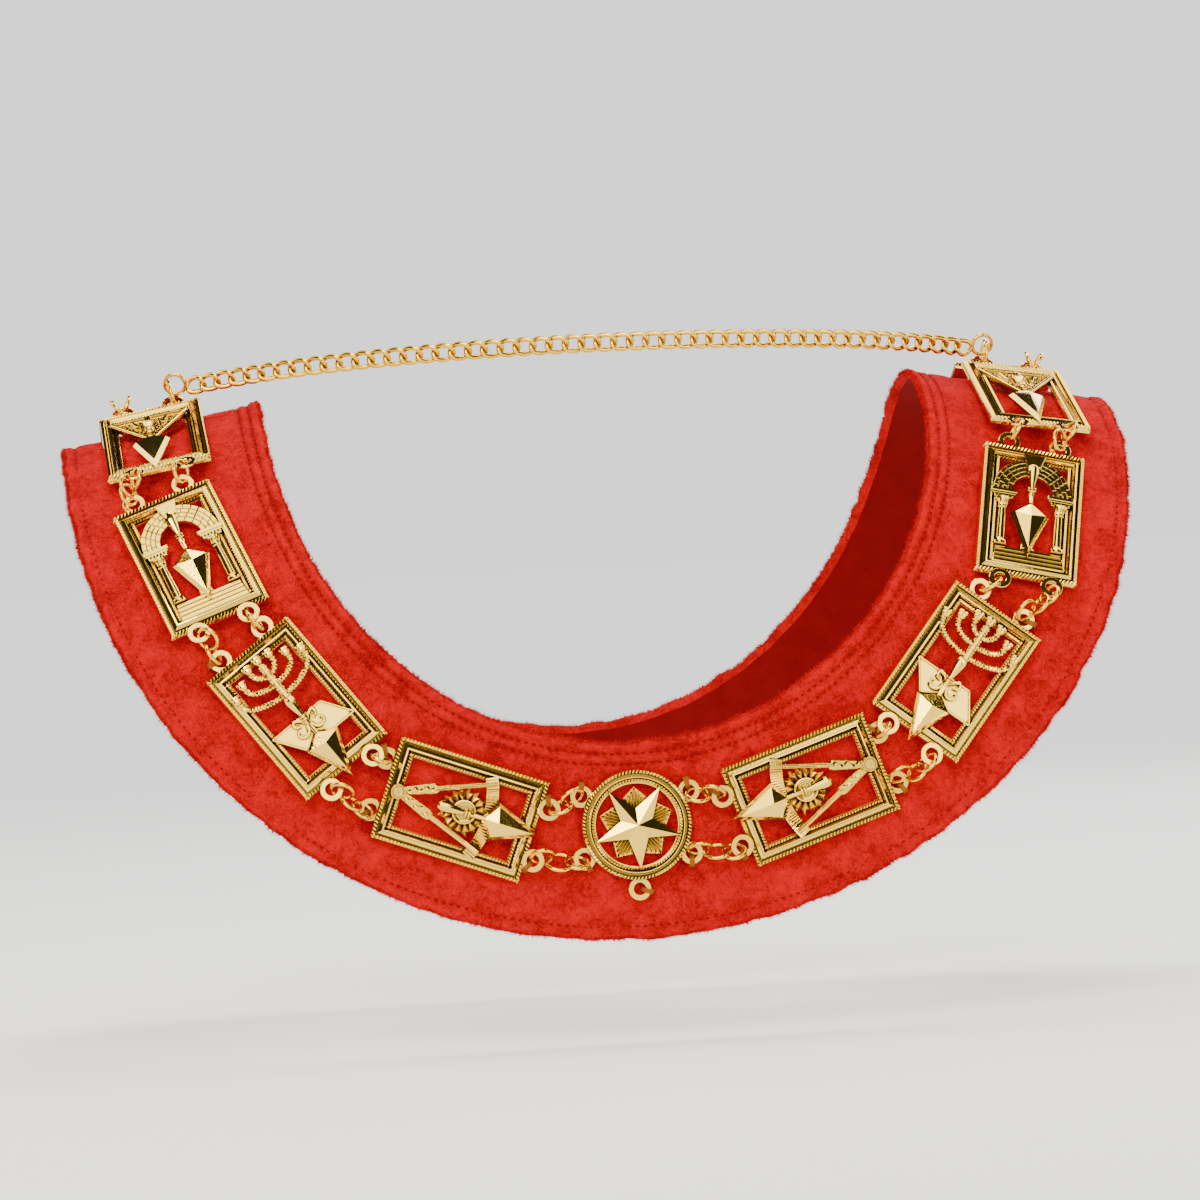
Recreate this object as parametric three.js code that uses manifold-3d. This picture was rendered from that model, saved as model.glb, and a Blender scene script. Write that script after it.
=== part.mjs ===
// Chain of office: a velvet collar that carries sixteen framed plaques and two star medallions,
// joined by jump rings, with a curb chain across the nape. Millimetres, +Z up.
// The origin lies midway between the two shoulder ridges; the shown back of the collar faces -Y.
import * as THREE from 'three';
import { mergeVertices } from 'three/addons/utils/BufferGeometryUtils.js';
import { ParametricGeometry } from 'three/addons/geometries/ParametricGeometry.js';
import { ConvexGeometry } from 'three/addons/geometries/ConvexGeometry.js';
import Module from 'manifold-3d';

const wasm = await Module();
wasm.setup();

// ---- driving dimensions -------------------------------------------------------------------
// collar: half widths across the shoulders and drops below the ridge, at its inner and outer edge
const HALF_WIDTH = [135, 216];
const DROP = [144, 222];
const SHOULDER_FALL = 16; // how much lower the outer edge lies on the ridge
const CHEST_DEPTH = 119; // from the ridge to the flat hanging part
const BEND_DROP = 159; // drop over which the collar turns from the ridge to that part
const VELVET = 3; // cloth with its stiffening
const LOOP_STEPS = 56;
// where the castings' centre line runs, as a part of the band's width from the inner edge
const LINE_LOW = 0.47;
const LINE_RIDGE = 0.54;
const MEDAL_LINE = 0.42;

// plaques
const PLAQUE = [42, 61.6];
const OPENING = [27.5, 45.8];
const FRAME_H = 3.4;
const MEDAL_PITCH = 71; // medallion centre to the next plaque's centre, along the band
const RIDGE_SHIFT = { 4: -1.8, 5: 1.8 }; // how far a shoulder's two plaques lie from even spacing
const CLEARANCE = 1.5; // room for the ring wire between castings and velvet

// medallion
const MEDAL_R = 21.9;
const MEDAL_OPEN_R = 16.1;
const STAR_R = [17.5, 6.6];
const STAR_TOP = 5.6;
const LOBE = [[3, -3], [10.8, -4.6], [15, 0], [10.8, 4.6], [3, 3]]; // outward and sideways

// ears, jump rings and chain
const EAR_R = 4.5;
const EAR_HOLE_R = 2.7;
const EAR_T = 1;
const EAR_LOW = 0.4; // underside of the ears at a plaque's upper end and on a medallion
const EAR_HIGH = 2.4; // underside of the ears at a plaque's lower end
const EAR_X = 10.5;
const EAR_OUT = 2.5; // centre beyond the short edge
const MEDAL_EAR_R = 24.5;
const RING_R = 4.3; // to the wire's centre
const WIRE_R = 0.7;
const RING_LEAN = 64; // degrees between a ring and the ears it joins
const RING_DIP = 1.5; // how far a ring passes below its ear's middle
const RING_DIP_BOTH = 2.45; // and where it passes below two ears at once
const CHAIN_PITCH = 6.6;
const LINK = [8.8, 8.5]; // length and width of a curb link
const LINK_WIRE_R = 0.75;
const LINK_TWIST = 36;

const GOLD = { color: 0xd9c08a, metalness: 1, roughness: 0.25 };
const YELLOW_GOLD = { color: 0xe0b040, metalness: 1, roughness: 0.25 };
const RED_VELVET = { color: 0xc81e18, metalness: 0, roughness: 0.95 };

const TURN = 2 * Math.PI;
const rad = THREE.MathUtils.degToRad;
const lerp = THREE.MathUtils.lerp;

// ---- solids -------------------------------------------------------------------------------
function solid(geometry) {
  const bare = geometry.index ? geometry.clone() : geometry;
  for (const name of Object.keys(bare.attributes)) {
    if (name !== 'position') bare.deleteAttribute(name);
  }
  const merged = mergeVertices(bare, 1e-4);
  return new wasm.Manifold(new wasm.Mesh({
    numProp: 3,
    vertProperties: new Float32Array(merged.attributes.position.array),
    triVerts: new Uint32Array(merged.index.array),
  }));
}

function join(solids) {
  return solids.reduce((all, next) => all.add(next));
}

function meshOf(name, body, finish) {
  const data = body.getMesh();
  const geometry = new THREE.BufferGeometry();
  geometry.setAttribute('position', new THREE.BufferAttribute(data.vertProperties, 3));
  geometry.setIndex(new THREE.BufferAttribute(data.triVerts, 1));
  geometry.computeVertexNormals();
  const mesh = new THREE.Mesh(geometry, new THREE.MeshStandardMaterial(finish));
  mesh.name = name;
  return mesh;
}

function plate(shape, low, high, curveSegments = 8) {
  const options = { depth: high - low, bevelEnabled: false, curveSegments };
  return solid(new THREE.ExtrudeGeometry(shape, options).translate(0, 0, low));
}

function outline(points) {
  return new THREE.Shape(points.map(([x, y]) => new THREE.Vector2(x, y)));
}

function rectangle([width, height]) {
  const x = width / 2;
  const y = height / 2;
  return [[-x, -y], [x, -y], [x, y], [-x, y]];
}

function regular(count, radius, start = 0) {
  return Array.from({ length: count }, (_, i) => {
    const a = start + (TURN * i) / count;
    return [radius * Math.cos(a), radius * Math.sin(a)];
  });
}

function starPoints(count, outer, inner, start) {
  return regular(2 * count, 1, start).map(([x, y], i) => {
    const r = i % 2 ? inner : outer;
    return [x * r, y * r];
  });
}

function withHole(outer, inner) {
  const shape = outline(outer);
  shape.holes.push(outline(inner));
  return shape;
}

function shifted(points, dx, dy) {
  return points.map(([x, y]) => [x + dx, y + dy]);
}

// a straight bar between two points, with its width at each end
function bar(from, to, widths, low, high) {
  const along = new THREE.Vector2(to[0] - from[0], to[1] - from[1]).normalize();
  const side = [-along.y, along.x];
  const corner = ([x, y], width, sign) => [x + sign * side[0] * width / 2, y + sign * side[1] * width / 2];
  const [a, b] = widths;
  const corners = [corner(from, a, 1), corner(from, a, -1), corner(to, b, -1), corner(to, b, 1)];
  return plate(outline(corners), low, high);
}

// a convex body with its outline at two heights and an optional top point
function faceted(points, low, high, top) {
  const corners = [low, high].flatMap((z) => points.map(([x, y]) => new THREE.Vector3(x, y, z)));
  if (top) corners.push(new THREE.Vector3(...top));
  return solid(new ConvexGeometry(corners));
}

// ---- the collar's surface -----------------------------------------------------------------
// q runs once round the loop: 0 left ridge, a quarter turn at the shown side's lowest point,
// half a turn at the right ridge; v runs from the inner edge, 0, to the outer one, 1
function collarPoint(q, v) {
  const fall = SHOULDER_FALL * v;
  const drop = lerp(DROP[0], DROP[1], v) - fall;
  const sine = Math.sin(q);
  const down = drop * sine * sine;
  const bend = down / BEND_DROP;
  const out = bend < 1 ? Math.abs(sine) * Math.sqrt((drop / BEND_DROP) * (2 - bend)) : 1;
  const x = -lerp(HALF_WIDTH[0], HALF_WIDTH[1], v) * Math.cos(q) * Math.sqrt(1 + sine * sine);
  return new THREE.Vector3(x, -Math.sign(sine) * CHEST_DEPTH * out, -fall - down);
}

const STEP = 1e-3;

function collarNormal(q, v) {
  const across = collarPoint(q, v + STEP).sub(collarPoint(q, v - STEP));
  const along = collarPoint(q + STEP, v).sub(collarPoint(q - STEP, v));
  return across.cross(along).normalize();
}

function lineV(q) {
  return lerp(LINE_LOW, LINE_RIDGE, Math.cos(q) ** 2);
}

// the castings' centre line as a table of lengths, so that places along it can be looked up
const LINE = (() => {
  const samples = 1440;
  const table = [{ q: 0, s: 0 }];
  let last = collarPoint(0, lineV(0));
  for (let i = 1; i <= samples; i += 1) {
    const q = (TURN * i) / samples;
    const here = collarPoint(q, lineV(q));
    table.push({ q, s: table[i - 1].s + here.distanceTo(last) });
    last = here;
  }
  return table;
})();
const LOOP_LENGTH = LINE[LINE.length - 1].s;
const PITCH = (LOOP_LENGTH - 4 * MEDAL_PITCH) / 14;

function lineAt(distance) {
  const s = ((distance % LOOP_LENGTH) + LOOP_LENGTH) % LOOP_LENGTH;
  const i = LINE.findIndex((row) => row.s >= s);
  if (i === 0) return 0;
  const [a, b] = [LINE[i - 1], LINE[i]];
  return lerp(a.q, b.q, (s - a.s) / (b.s - a.s));
}

// a flat casting's place: tangent to the collar and just clear of it.
// up is the casting's own +y, turned by some degrees clockwise as seen from outside
function seat(q, v, upSign, turn = 0) {
  const normal = collarNormal(q, v);
  const centre = collarPoint(q, v).addScaledVector(normal, CLEARANCE);
  const ahead = collarPoint(q + STEP, lineV(q + STEP)).sub(collarPoint(q - STEP, lineV(q - STEP)));
  const up = ahead.multiplyScalar(upSign).projectOnPlane(normal).normalize();
  up.applyAxisAngle(normal, -rad(turn));
  const right = up.clone().cross(normal);
  return new THREE.Matrix4().makeBasis(right, up, normal).setPosition(centre);
}

// ---- collar -------------------------------------------------------------------------------
// the band's section as [v, height above the cloth's back] with eased edges
const BAND_SECTION = [
  [0, 2.2], [0, 0.8], [0.01, 0], [0.33, 0], [0.67, 0], [0.99, 0],
  [1, 0.8], [1, 2.2], [0.99, VELVET], [0.67, VELVET], [0.33, VELVET], [0.01, VELVET],
];

function velvetCollar() {
  const count = BAND_SECTION.length;
  const place = (along, around, target) => {
    const q = TURN * (along % 1);
    const [v, height] = BAND_SECTION[Math.round(around * count) % count];
    target.copy(collarPoint(q, v)).addScaledVector(collarNormal(q, v), height - VELVET);
  };
  return solid(new ParametricGeometry(place, LOOP_STEPS, count));
}

// ---- castings -----------------------------------------------------------------------------
function ear(x, y, low) {
  const [rim, hole] = [regular(8, EAR_R), regular(6, EAR_HOLE_R)].map((points) => shifted(points, x, y));
  return plate(withHole(rim, hole), low, low + EAR_T);
}

// a mason's trowel: wooden handle, ferrule, neck and a kite blade pressed up to a point
function trowel({ top, foot, blade, shoulder, tip, x = -0.5, half = 7.7 }) {
  const handle = bar([x, top], [x, foot], [4.2, 3], 2.9, 5.2);
  const neck = bar([x, foot + 0.5], [x, blade - 2], [2.4, 2], 2.6, 4.4);
  const kite = [[x, blade], [x + half, shoulder], [x, tip], [x - half, shoulder]];
  return join([handle, neck, faceted(kite, 2.4, 4.2, [x, shoulder + 1, 6])]);
}

function sunAndCompasses() {
  const hinge = [-0.5, 25.3];
  const quadrant = [248, 292].map(rad);
  const arc = new THREE.Shape();
  arc.absarc(...hinge, 39, quadrant[0], quadrant[1], false);
  arc.absarc(...hinge, 35, quadrant[1], quadrant[0], true);
  return [
    plate(outline(shifted(regular(6, 3), ...hinge)), 2.5, 5),
    bar(hinge, [-14.4, -12], [3.6, 1.8], 2.2, 4.2),
    bar(hinge, [14.1, -11], [3.6, 1.8], 2.2, 4.4),
    plate(arc, 1, 2.6, 4),
    plate(outline(shifted(starPoints(8, 9.5, 6.2, 0), -0.5, -1.7)), 1.4, 3.1),
    trowel({ top: 9, foot: -3.2, blade: -8.7, shoulder: -14, tip: -33.2 }),
  ];
}

// a pair of rope arms that curve up from the stem, each with its cup, in one outline
function branch(half, cup, foot) {
  const rise = cup - foot;
  const shape = new THREE.Shape();
  shape.moveTo(half - 1.1, cup);
  shape.absellipse(0, cup, half - 1.1, rise - 1.1, 0, -Math.PI, true, 0);
  shape.lineTo(2.3 - half, cup + 4.6);
  shape.lineTo(-half - 2.3, cup + 4.6);
  shape.lineTo(-half - 1.1, cup);
  shape.absellipse(0, cup, half + 1.1, rise + 1.1, -Math.PI, 0, false, 0);
  shape.lineTo(half + 2.3, cup + 4.6);
  shape.lineTo(half - 2.3, cup + 4.6);
  return plate(shape, 1.2, 3.8, 5);
}

function candlestick() {
  return [
    bar([0, 5], [0, 25.5], [2.7, 2.7], 1.2, 3.9),
    branch(5.3, 21, 16.8),
    branch(10.8, 17.4, 12.4),
    branch(16.4, 14.6, 7),
    plate(outline([[-15.5, -3.7], [8.7, -3.7], [16.2, -15.2], [-7.5, -15.5]]), 1, 3),
    trowel({ top: 6.2, foot: -5.2, blade: -11.2, shoulder: -16.2, tip: -34.4 }),
  ];
}

function archAndSteps() {
  const gate = new THREE.Shape();
  gate.moveTo(13.7, -18);
  gate.lineTo(13.7, 6);
  gate.lineTo(16.4, 8.8);
  gate.absarc(0, 8.8, 15.4, 0, Math.PI, false);
  gate.lineTo(-16.4, 8.8);
  gate.lineTo(-13.7, 6);
  gate.lineTo(-13.7, -18);
  gate.lineTo(-9.5, -18);
  gate.lineTo(-9.5, 6);
  gate.absarc(0, 8.8, 8.2, Math.PI, 0, true);
  gate.lineTo(9.5, 6);
  gate.lineTo(9.5, -18);
  return [
    plate(gate, 1.2, 3.9, 6),
    bar([0, 26.6], [0, 20.6], [9, 5.6], 1.4, 4.8),
    plate(outline(shifted(rectangle([28.4, 9]), 0, -21.6)), 1, 3.3),
    bar([-0.4, 21], [-0.4, 3], [2, 2], 1.4, 3.4),
    bar([-0.4, -10], [-0.4, -19], [6, 1.6], 1.2, 2.8),
    trowel({ top: 22, foot: 9, blade: 4.5, shoulder: -1.5, tip: -21.7, x: -0.4 }),
  ];
}

function triangle() {
  const corners = [[-17.5, 20.8], [16.3, 20.8], [-0.8, -4.5]];
  return [
    plate(outline(corners), 1, 3.6),
    trowel({ top: 17, foot: 4.4, blade: -0.4, shoulder: -6.2, tip: -32.2, x: -1.2 }),
  ];
}

function plaque(motif) {
  const ears = [1, -1].flatMap((end) => [-EAR_X, EAR_X].map((x) => (
    ear(x, end * (PLAQUE[1] / 2 + EAR_OUT), end > 0 ? EAR_LOW : EAR_HIGH))));
  return join([plate(withHole(rectangle(PLAQUE), rectangle(OPENING)), 0, FRAME_H), ...motif(), ...ears]);
}

// a faceted five-pointed star with one point down, over five lobes that each end in a square corner
function medallion() {
  const down = -Math.PI / 2;
  const star = starPoints(5, STAR_R[0], STAR_R[1], down);
  const tip = new THREE.Vector3(0, 0, STAR_TOP);
  const kites = Array.from({ length: 5 }, (_, i) => {
    const kite = [star[2 * i], star[2 * i + 1], [0, 0], star[(2 * i + 9) % 10]];
    return faceted(kite, 2, 3.3, tip.toArray());
  });
  const lobes = Array.from({ length: 5 }, (_, i) => {
    const a = down + (TURN * (i + 0.5)) / 5;
    const lobe = LOBE.map(([out, side]) => (
      [out * Math.cos(a) - side * Math.sin(a), out * Math.sin(a) + side * Math.cos(a)]));
    return plate(outline(lobe), 0.9, 2.4);
  });
  const ears = [30, 150, 210, 330].map(rad).map((a) => (
    ear(MEDAL_EAR_R * Math.cos(a), MEDAL_EAR_R * Math.sin(a), EAR_LOW)));
  return join([
    plate(withHole(regular(28, MEDAL_R), regular(20, MEDAL_OPEN_R)), 0, FRAME_H),
    ...kites, ...lobes, ...ears, ear(0, -MEDAL_EAR_R - 0.7, EAR_LOW),
  ]);
}

// ---- jump rings ---------------------------------------------------------------------------
function wireRing(centre, ahead, raise, radius) {
  const frame = new THREE.Matrix4().makeBasis(ahead, raise, ahead.clone().cross(raise)).setPosition(centre);
  return solid(new THREE.TorusGeometry(radius, WIRE_R, 3, 8).applyMatrix4(frame));
}

// the circle through a hole whose lowest point lies depth under the line of the chord ahead
function threaded(hole, ahead, raise, chord, depth) {
  const radius = (chord * chord / 4 + depth * depth) / (2 * depth);
  const centre = hole.clone().addScaledVector(ahead, chord / 2).addScaledVector(raise, radius - depth);
  return wireRing(centre, ahead, raise, radius);
}

const ONE_RING = 11.6; // the longest way between two holes that one ring spans
const WIDEST_CHORD = 8.4; // between the places where that ring passes through them
const TWO_RINGS = 16.6;
const MAX_REACH = 9; // from a hole to the far side of its ring
const MIN_CHORD = 5.8; // clears the ear's own rim
const FAR_EAR = 5.3; // and the other ear's
const OVERLAP = 2.6; // of two rings that cross
const MIDDLE_RAISE = 2.2; // height of the lowest point of a ring that hangs between two others
const HOLE_SHIFT = 0.4; // where a ring through two near ears passes, back from each hole's centre

// directions in the plane that side is square to: along an ear, and square off it
function earAxes(normal, side) {
  const raise = normal.clone().projectOnPlane(side).normalize();
  return { raise, ahead: raise.clone().cross(side) };
}

// the rings of one connection, as one body that touches where they cross
function ringGroup(a, b) {
  const gap = b.at.clone().sub(a.at);
  const distance = gap.length();
  const mean = a.normal.clone().add(b.normal).normalize();
  const side = gap.clone().cross(mean).normalize();
  if (distance < ONE_RING) {
    const ahead = gap.clone().normalize();
    const lean = rad(RING_LEAN);
    const raise = side.clone().cross(ahead).multiplyScalar(Math.sin(lean));
    raise.addScaledVector(side, Math.cos(lean));
    const chord = Math.min(distance + 2 * HOLE_SHIFT, WIDEST_CHORD);
    const hole = a.at.clone().addScaledVector(ahead, (distance - chord) / 2);
    return threaded(hole, ahead, raise, chord, RING_DIP_BOTH / Math.sin(lean));
  }
  const reach = Math.min(distance / 2 + OVERLAP / 2, MAX_REACH);
  const linked = 2 * (Math.sqrt(2 * RING_DIP * reach) - RING_DIP);
  const chord = Math.min(Math.max(linked, MIN_CHORD), distance - FAR_EAR);
  const rings = [[a, 1], [b, -1]].map(([ear, sign]) => {
    const { ahead, raise } = earAxes(ear.normal, side);
    return threaded(ear.at, ahead.multiplyScalar(sign), raise, chord, RING_DIP);
  });
  if (distance / mean.dot(a.normal) > TWO_RINGS) {
    const { ahead, raise } = earAxes(mean, side);
    const centre = a.at.clone().lerp(b.at, 0.5).addScaledVector(raise, RING_R + MIDDLE_RAISE);
    rings.push(wireRing(centre, ahead, raise, RING_R));
  }
  return join(rings);
}

// ---- curb chain ---------------------------------------------------------------------------
// the chain's first ring, from the ear: on along the jump ring, up off the ear and in over it
const CHAIN_RING = { on: 3.6, up: 7.4, over: 2.4 };
const FIRST_LINK = { over: 5.6, up: -1.8 }; // from that ring's centre
const CHAIN_HANDLE = [72, -48, 11]; // which way and how strongly the chain leaves its ends

function chainRoute(from, to) {
  const [x, y, z] = CHAIN_HANDLE;
  const near = from.clone().add(new THREE.Vector3(x, y, z));
  const far = to.clone().add(new THREE.Vector3(-x, y, z));
  return new THREE.CubicBezierCurve3(from, near, far, to);
}

// the ring that joins the chain's end to the jump ring in an ear: it stands in that ring, and
// the chain's first link hangs in it
function chainRing(ear, far, inward) {
  const gap = far.at.clone().sub(ear.at);
  const side = gap.clone().cross(ear.normal.clone().add(far.normal)).normalize();
  const { raise, ahead } = earAxes(ear.normal, side);
  const level = inward.clone().projectOnPlane(raise).normalize();
  const at = ear.at.clone().addScaledVector(ahead, CHAIN_RING.on).addScaledVector(raise, CHAIN_RING.up)
    .addScaledVector(level, CHAIN_RING.over);
  const start = at.clone().addScaledVector(level, FIRST_LINK.over).addScaledVector(raise, FIRST_LINK.up);
  return { body: wireRing(at, level, raise, RING_R), start };
}

function curbChain(from, to) {
  const route = chainRoute(from, to);
  const count = Math.round(route.getLength() / CHAIN_PITCH);
  const links = Array.from({ length: count }, (_, i) => {
    const at = route.getPointAt((i + 0.5) / count);
    const ahead = route.getTangentAt((i + 0.5) / count);
    const outward = new THREE.Vector3(0, -1, 0.5).projectOnPlane(ahead).normalize();
    outward.applyAxisAngle(ahead, rad(LINK_TWIST));
    const side = outward.clone().cross(ahead);
    const long = LINK[0] / 2 - LINK_WIRE_R;
    const wide = LINK[1] / 2 - LINK_WIRE_R;
    const ring = new THREE.TorusGeometry(1, 0.22, 3, 5).scale(long, wide, LINK_WIRE_R / 0.22);
    return solid(ring.applyMatrix4(new THREE.Matrix4().makeBasis(ahead, side, outward).setPosition(at)));
  });
  return join(links);
}

// ---- assembly -----------------------------------------------------------------------------
const MOTIFS = [
  ['compasses', sunAndCompasses],
  ['candlestick', candlestick],
  ['arch', archAndSteps],
  ['triangle', triangle],
];
// how far each shown plaque hangs turned, in degrees clockwise, counted from the medallion
const HANG = { right: [4, -4, -6, -3], left: [-2, 6, -2, 0] };

const EAR_LEVEL = { low: EAR_LOW + EAR_T / 2, high: EAR_HIGH + EAR_T / 2 };

function worldEars(matrix, places) {
  const normal = new THREE.Vector3().setFromMatrixColumn(matrix, 2);
  return places.map(([x, y, z]) => ({ at: new THREE.Vector3(x, y, z).applyMatrix4(matrix), normal }));
}

function medalSeat(q) {
  return seat(q, MEDAL_LINE, 1).multiply(new THREE.Matrix4().makeRotationZ(Math.PI / 2));
}

const chain = new THREE.Group();
chain.add(meshOf('velvet_collar', velvetCollar(), RED_VELVET));

function place(name, body, matrix, finish) {
  const mesh = meshOf(name, body, finish);
  mesh.applyMatrix4(matrix);
  chain.add(mesh);
}

// castings in order round the loop from the shown medallion, each with its ears in pairs:
// those that face back along the loop, then those that face on, the inner one first
const plaqueBodies = MOTIFS.map(([, motif]) => plaque(motif));
const medalBody = medallion();
const castings = [];

function addMedallion(name, q) {
  const matrix = medalSeat(q);
  place(name, medalBody, matrix, GOLD);
  const ears = worldEars(matrix, [30, 330, 150, 210].map(rad).map((a) => (
    [MEDAL_EAR_R * Math.cos(a), MEDAL_EAR_R * Math.sin(a), EAR_LEVEL.low])));
  castings.push({ back: ears.slice(2), on: ears.slice(0, 2) });
}

function addPlaque(side, number) {
  const sign = side === 'right' ? 1 : -1;
  const [title] = MOTIFS[(number - 1) % 4];
  const along = MEDAL_PITCH + (number - 1) * PITCH + (RIDGE_SHIFT[number] ?? 0);
  const q = lineAt(LOOP_LENGTH / 4 + sign * along);
  const matrix = seat(q, lineV(q), sign, HANG[side][number - 1] ?? 0);
  place(`plaque_${side}_${number}_${title}`, plaqueBodies[(number - 1) % 4], matrix, GOLD);
  const y = PLAQUE[1] / 2 + EAR_OUT;
  const ends = [[y, EAR_LEVEL.high, -1], [y, EAR_LEVEL.low, 1]].map(([far, level, end]) => (
    worldEars(matrix, [[-sign * EAR_X, end * far, level], [sign * EAR_X, end * far, level]])));
  castings.push(sign > 0 ? { back: ends[0], on: ends[1] } : { back: ends[1], on: ends[0] });
}

addMedallion('medallion_front', lineAt(LOOP_LENGTH / 4));
for (let number = 1; number <= 8; number += 1) addPlaque('right', number);
addMedallion('medallion_rear', lineAt((LOOP_LENGTH * 3) / 4));
for (let number = 8; number >= 1; number -= 1) addPlaque('left', number);

castings.forEach((casting, i) => {
  const next = castings[(i + 1) % castings.length];
  ['inner', 'outer'].forEach((edge, k) => {
    chain.add(meshOf(`rings_${i + 1}_${edge}`, ringGroup(casting.on[k], next.back[k]), YELLOW_GOLD));
  });
});

// the chain hangs from the inner upper ear of each shown plaque that lies highest
const inward = new THREE.Vector3(1, -0.35, 0.25);
const leftRing = chainRing(castings[14].back[0], castings[13].on[0], inward);
const rightRing = chainRing(castings[4].on[0], castings[5].back[0], inward.clone().setX(-1));
chain.add(meshOf('chain_ring_left', leftRing.body, YELLOW_GOLD));
chain.add(meshOf('chain_ring_right', rightRing.body, YELLOW_GOLD));
chain.add(meshOf('curb_chain', curbChain(leftRing.start, rightRing.start), YELLOW_GOLD));

export default chain;
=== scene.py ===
"""Chain of office: a red velvet collar with gilt plaques, star medallions, jump rings and a curb chain."""

import math
import random

import bmesh
import bpy
from mathutils import Matrix, Vector, noise
from mathutils.geometry import interpolate_bezier


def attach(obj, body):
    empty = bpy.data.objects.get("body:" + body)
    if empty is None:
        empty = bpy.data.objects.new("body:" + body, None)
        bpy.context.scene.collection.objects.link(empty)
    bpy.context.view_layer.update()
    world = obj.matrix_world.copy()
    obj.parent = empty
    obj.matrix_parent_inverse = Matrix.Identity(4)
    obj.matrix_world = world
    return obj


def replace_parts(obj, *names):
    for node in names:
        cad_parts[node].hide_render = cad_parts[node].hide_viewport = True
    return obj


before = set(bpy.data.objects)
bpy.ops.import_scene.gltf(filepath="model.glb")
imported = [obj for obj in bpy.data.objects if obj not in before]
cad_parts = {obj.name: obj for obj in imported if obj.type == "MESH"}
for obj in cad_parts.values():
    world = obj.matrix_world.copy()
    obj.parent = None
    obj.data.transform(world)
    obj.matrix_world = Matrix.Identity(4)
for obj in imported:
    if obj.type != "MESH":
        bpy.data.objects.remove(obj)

bl_info = {
    "name": "Chain of office",
    "version": (1, 0, 0),
    "blender": (4, 5, 0),
    "location": "View3D > Sidebar > Regalia",
    "description": "Builds a velvet collar with its gilt castings, rings and chain",
    "category": "Add Mesh",
}

MM = 0.001
TURN = 2 * math.pi
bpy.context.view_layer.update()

# ---- the collar's form, in millimetres, as the frame has it -----------------------------------
HALF_WIDTH = (135, 216)
DROP = (144, 222)
SHOULDER_FALL = 16
CHEST_DEPTH = 119
BEND_DROP = 159
VELVET = 3
LINE_LOW, LINE_RIDGE, MEDAL_LINE = 0.47, 0.54, 0.42
MEDAL_PITCH = 71
RIDGE_SHIFT = {4: -1.8, 5: 1.8}
CLEARANCE = 1.5

PLAQUE = (42, 61.6)
EAR_R, EAR_HOLE_R, EAR_T = 4.5, 2.4, 1.0
EAR_LOW, EAR_HIGH = 0.4, 2.4
EAR_X, EAR_OUT = 10.5, 2.5
MEDAL_R, MEDAL_EAR_R = 21.9, 24.5
JEWEL_EAR_R = MEDAL_EAR_R + 0.7
RING_R, WIRE_R = 4.35, 0.8

MOTIFS = ("compasses", "candlestick", "arch", "triangle")
HANG = {"right": (4, -4, -6, -3), "left": (-2, 6, -2, 0)}
STEP = 1e-3


def lerp(a, b, t):
    return a + (b - a) * t


def collar_point(q, v):
    """q runs once round the loop from the left ridge, v from the inner edge, 0, to the outer, 1."""
    fall = SHOULDER_FALL * v
    drop = lerp(*DROP, v) - fall
    sine = math.sin(q)
    down = drop * sine * sine
    bend = down / BEND_DROP
    out = abs(sine) * math.sqrt(drop / BEND_DROP * (2 - bend)) if bend < 1 else 1
    x = -lerp(*HALF_WIDTH, v) * math.cos(q) * math.sqrt(1 + sine * sine)
    return Vector((x, -math.copysign(CHEST_DEPTH * out, sine), -fall - down))


def collar_normal(q, v):
    across = collar_point(q, v + STEP) - collar_point(q, v - STEP)
    along = collar_point(q + STEP, v) - collar_point(q - STEP, v)
    return across.cross(along).normalized()


def line_v(q):
    return lerp(LINE_LOW, LINE_RIDGE, math.cos(q) ** 2)


def line_table(samples=1440):
    table, last = [(0.0, 0.0)], collar_point(0, line_v(0))
    for i in range(1, samples + 1):
        q = TURN * i / samples
        here = collar_point(q, line_v(q))
        table.append((q, table[-1][1] + (here - last).length))
        last = here
    return table


LINE = line_table()
LOOP_LENGTH = LINE[-1][1]
PITCH = (LOOP_LENGTH - 4 * MEDAL_PITCH) / 14


def line_at(distance):
    s = distance % LOOP_LENGTH
    for (q0, s0), (q1, s1) in zip(LINE, LINE[1:]):
        if s1 >= s:
            return lerp(q0, q1, (s - s0) / (s1 - s0))
    return TURN


def axes_matrix(x, y, z, at):
    return Matrix.Translation(at) @ Matrix((x, y, z)).transposed().to_4x4()


def seat(q, v, up_sign, turn=0):
    """A flat casting's place: tangent to the collar, its own +y along the band."""
    normal = collar_normal(q, v)
    ahead = collar_point(q + STEP, line_v(q + STEP)) - collar_point(q - STEP, line_v(q - STEP))
    up = (ahead - ahead.project(normal)).normalized() * up_sign
    up.rotate(Matrix.Rotation(-math.radians(turn), 3, normal))
    at = collar_point(q, v) + normal * CLEARANCE
    return axes_matrix(up.cross(normal), up, normal, at)


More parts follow.
